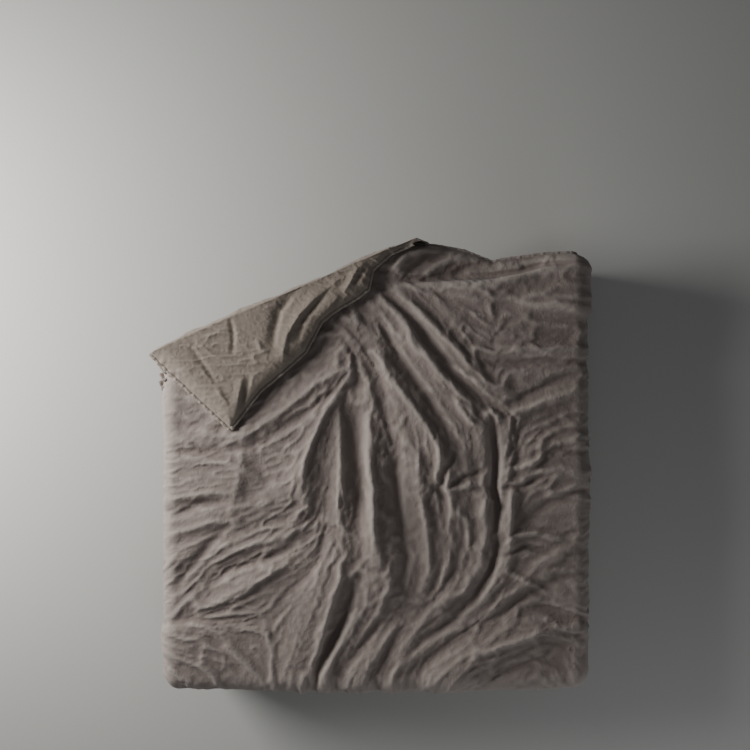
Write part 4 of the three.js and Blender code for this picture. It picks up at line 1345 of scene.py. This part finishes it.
second_row = turned_side_row + np.array([*(0.0035 * ALONG_TURNED), -0.0001])
ROWS_OF = {
    "side_left": [left_row],
    "side_right": [right_row],
    "head": [head_row],
    "foot": [strip_row, strip_top_row],
    "turned_side": [turned_side_row, second_row],
    "turned_head": [turned_head_row],
}
stitches = {name: stitch_row(f"stitches_{name}", rows) for name, rows in ROWS_OF.items()}
print({name: len(o.data.polygons) for name, o in stitches.items()})

# %% [markdown]
# ## Camera, light and floor
#
# The camera hangs straight above the bed and looks down. One large soft light stands low on the
# left, so every fold has a bright side and a shadow side; a weak one above fills the shadows.

# %% Camera and light
def area_light(name, place, target, size, power, color):
    data = bpy.data.lights.new(name, "AREA")
    data.shape = "SQUARE"
    data.size = size
    data.energy = power
    data.color = color
    made = bpy.data.objects.new(name, data)
    bpy.context.scene.collection.objects.link(made)
    made.location = place
    made.rotation_euler = (Vector(target) - Vector(place)).to_track_quat("-Z", "Y").to_euler()


camera_data = bpy.data.cameras.new("camera")
camera_data.lens = 32.6
camera = bpy.data.objects.new("camera", camera_data)
camera.location = (0, 0.19, 2.68)
bpy.context.scene.collection.objects.link(camera)
bpy.context.scene.camera = camera
area_light("window", (-2.9, 0.75, 1.02), (0.1, -0.2, 0.0), 1.4, 148, (1.0, 0.985, 0.96))
area_light("fill", (0.4, 0.0, 3.4), (0, 0, 0), 3.0, 6, (0.96, 0.98, 1.0))
area_light("side_fill", (1.9, -3.4, 0.7), (0.1, -0.3, -0.1), 2.4, 30, (0.97, 0.98, 1.0))
world = bpy.data.worlds.new("room")
world.use_nodes = True
sky = world.node_tree.nodes["Background"]
sky.inputs["Color"].default_value = (0.80, 0.83, 0.86, 1)
sky.inputs["Strength"].default_value = 0.07
bpy.context.scene.world = world

REACH = 9  # of the floor, each way
sides = np.array([-REACH, REACH], float)
x, y = np.meshgrid(sides, sides, indexing="ij")
floor = grid_object("floor", np.stack([x, y, np.full_like(x, cad_low.z - 0.012)], -1))
floor_paint, _, _ = principled("floor_paint", Base_Color=(0.52, 0.52, 0.50, 1), Roughness=0.85)
floor.data.materials.append(floor_paint)
floor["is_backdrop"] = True
print("camera", round(camera.location.z, 2), "m above the mattress' top")

# %% [markdown]
# ## Which body carries each piece
#
# The turned panel is given no body; its transform is only baked into its mesh. Everything else rides
# on one body.

# %% Bodies
SPREAD = [face_panel, reverse_panel, end_roll, left_hem, right_hem, head_hem, ruffle, gathered_end,
          insert_pad, strip_back, strip_front, *buttons,
          *[stitches[name] for name in ("side_left", "side_right", "head", "foot")]]
TURNED = [turned_face, turned_side_hem, turned_head_hem, turned_insert,
          stitches["turned_side"], stitches["turned_head"]]
for piece in SPREAD:
    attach(piece, ROOT)
for piece in TURNED:
    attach(piece, CORNER)
for place_name, (_, _, _, body) in TAPES.items():
    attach(tapes[f"tie_{place_name}"], body)
    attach(tapes[f"tab_{place_name}"], body)
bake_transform(turned_panel)
print(len(SPREAD), "pieces ride the spread duvet and", len(TURNED), "the turned corner, beside the tapes")

# %% CAD nodes that the pieces stand for
# The ruffle, the gathers and the fold's end are part of the cover, whose panels stand for its nodes.
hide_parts("cover_face")
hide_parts("cover_reverse")
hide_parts("corner_cover_reverse", "fold_roll")
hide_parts("corner_cover_face")
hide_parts("seam_left")
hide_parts("seam_right")
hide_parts("seam_head")
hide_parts("corner_seam_side")
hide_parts("corner_seam_head")
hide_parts("placket_back")
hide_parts("placket_face")
for number, piece in enumerate(buttons, 1):
    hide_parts(f"button_{number}")
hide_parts(*[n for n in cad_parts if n.startswith("pocket_")])
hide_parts(*[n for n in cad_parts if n.startswith("corner_pocket_")])
for place_name in TAPES:
    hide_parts(f"corner_tie_{place_name}")
    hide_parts(f"insert_tab_{place_name}")

for name, piece in tapes.items():
    under = turned_insert if "turned" in name else insert_pad
print("declared", 9 + len(tapes), "sheets and 2 padded pieces")

# %% Size of the visual model beside the CAD's, and finish
low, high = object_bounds()
print("visual box", [round(x, 3) for x in low], [round(x, 3) for x in high])
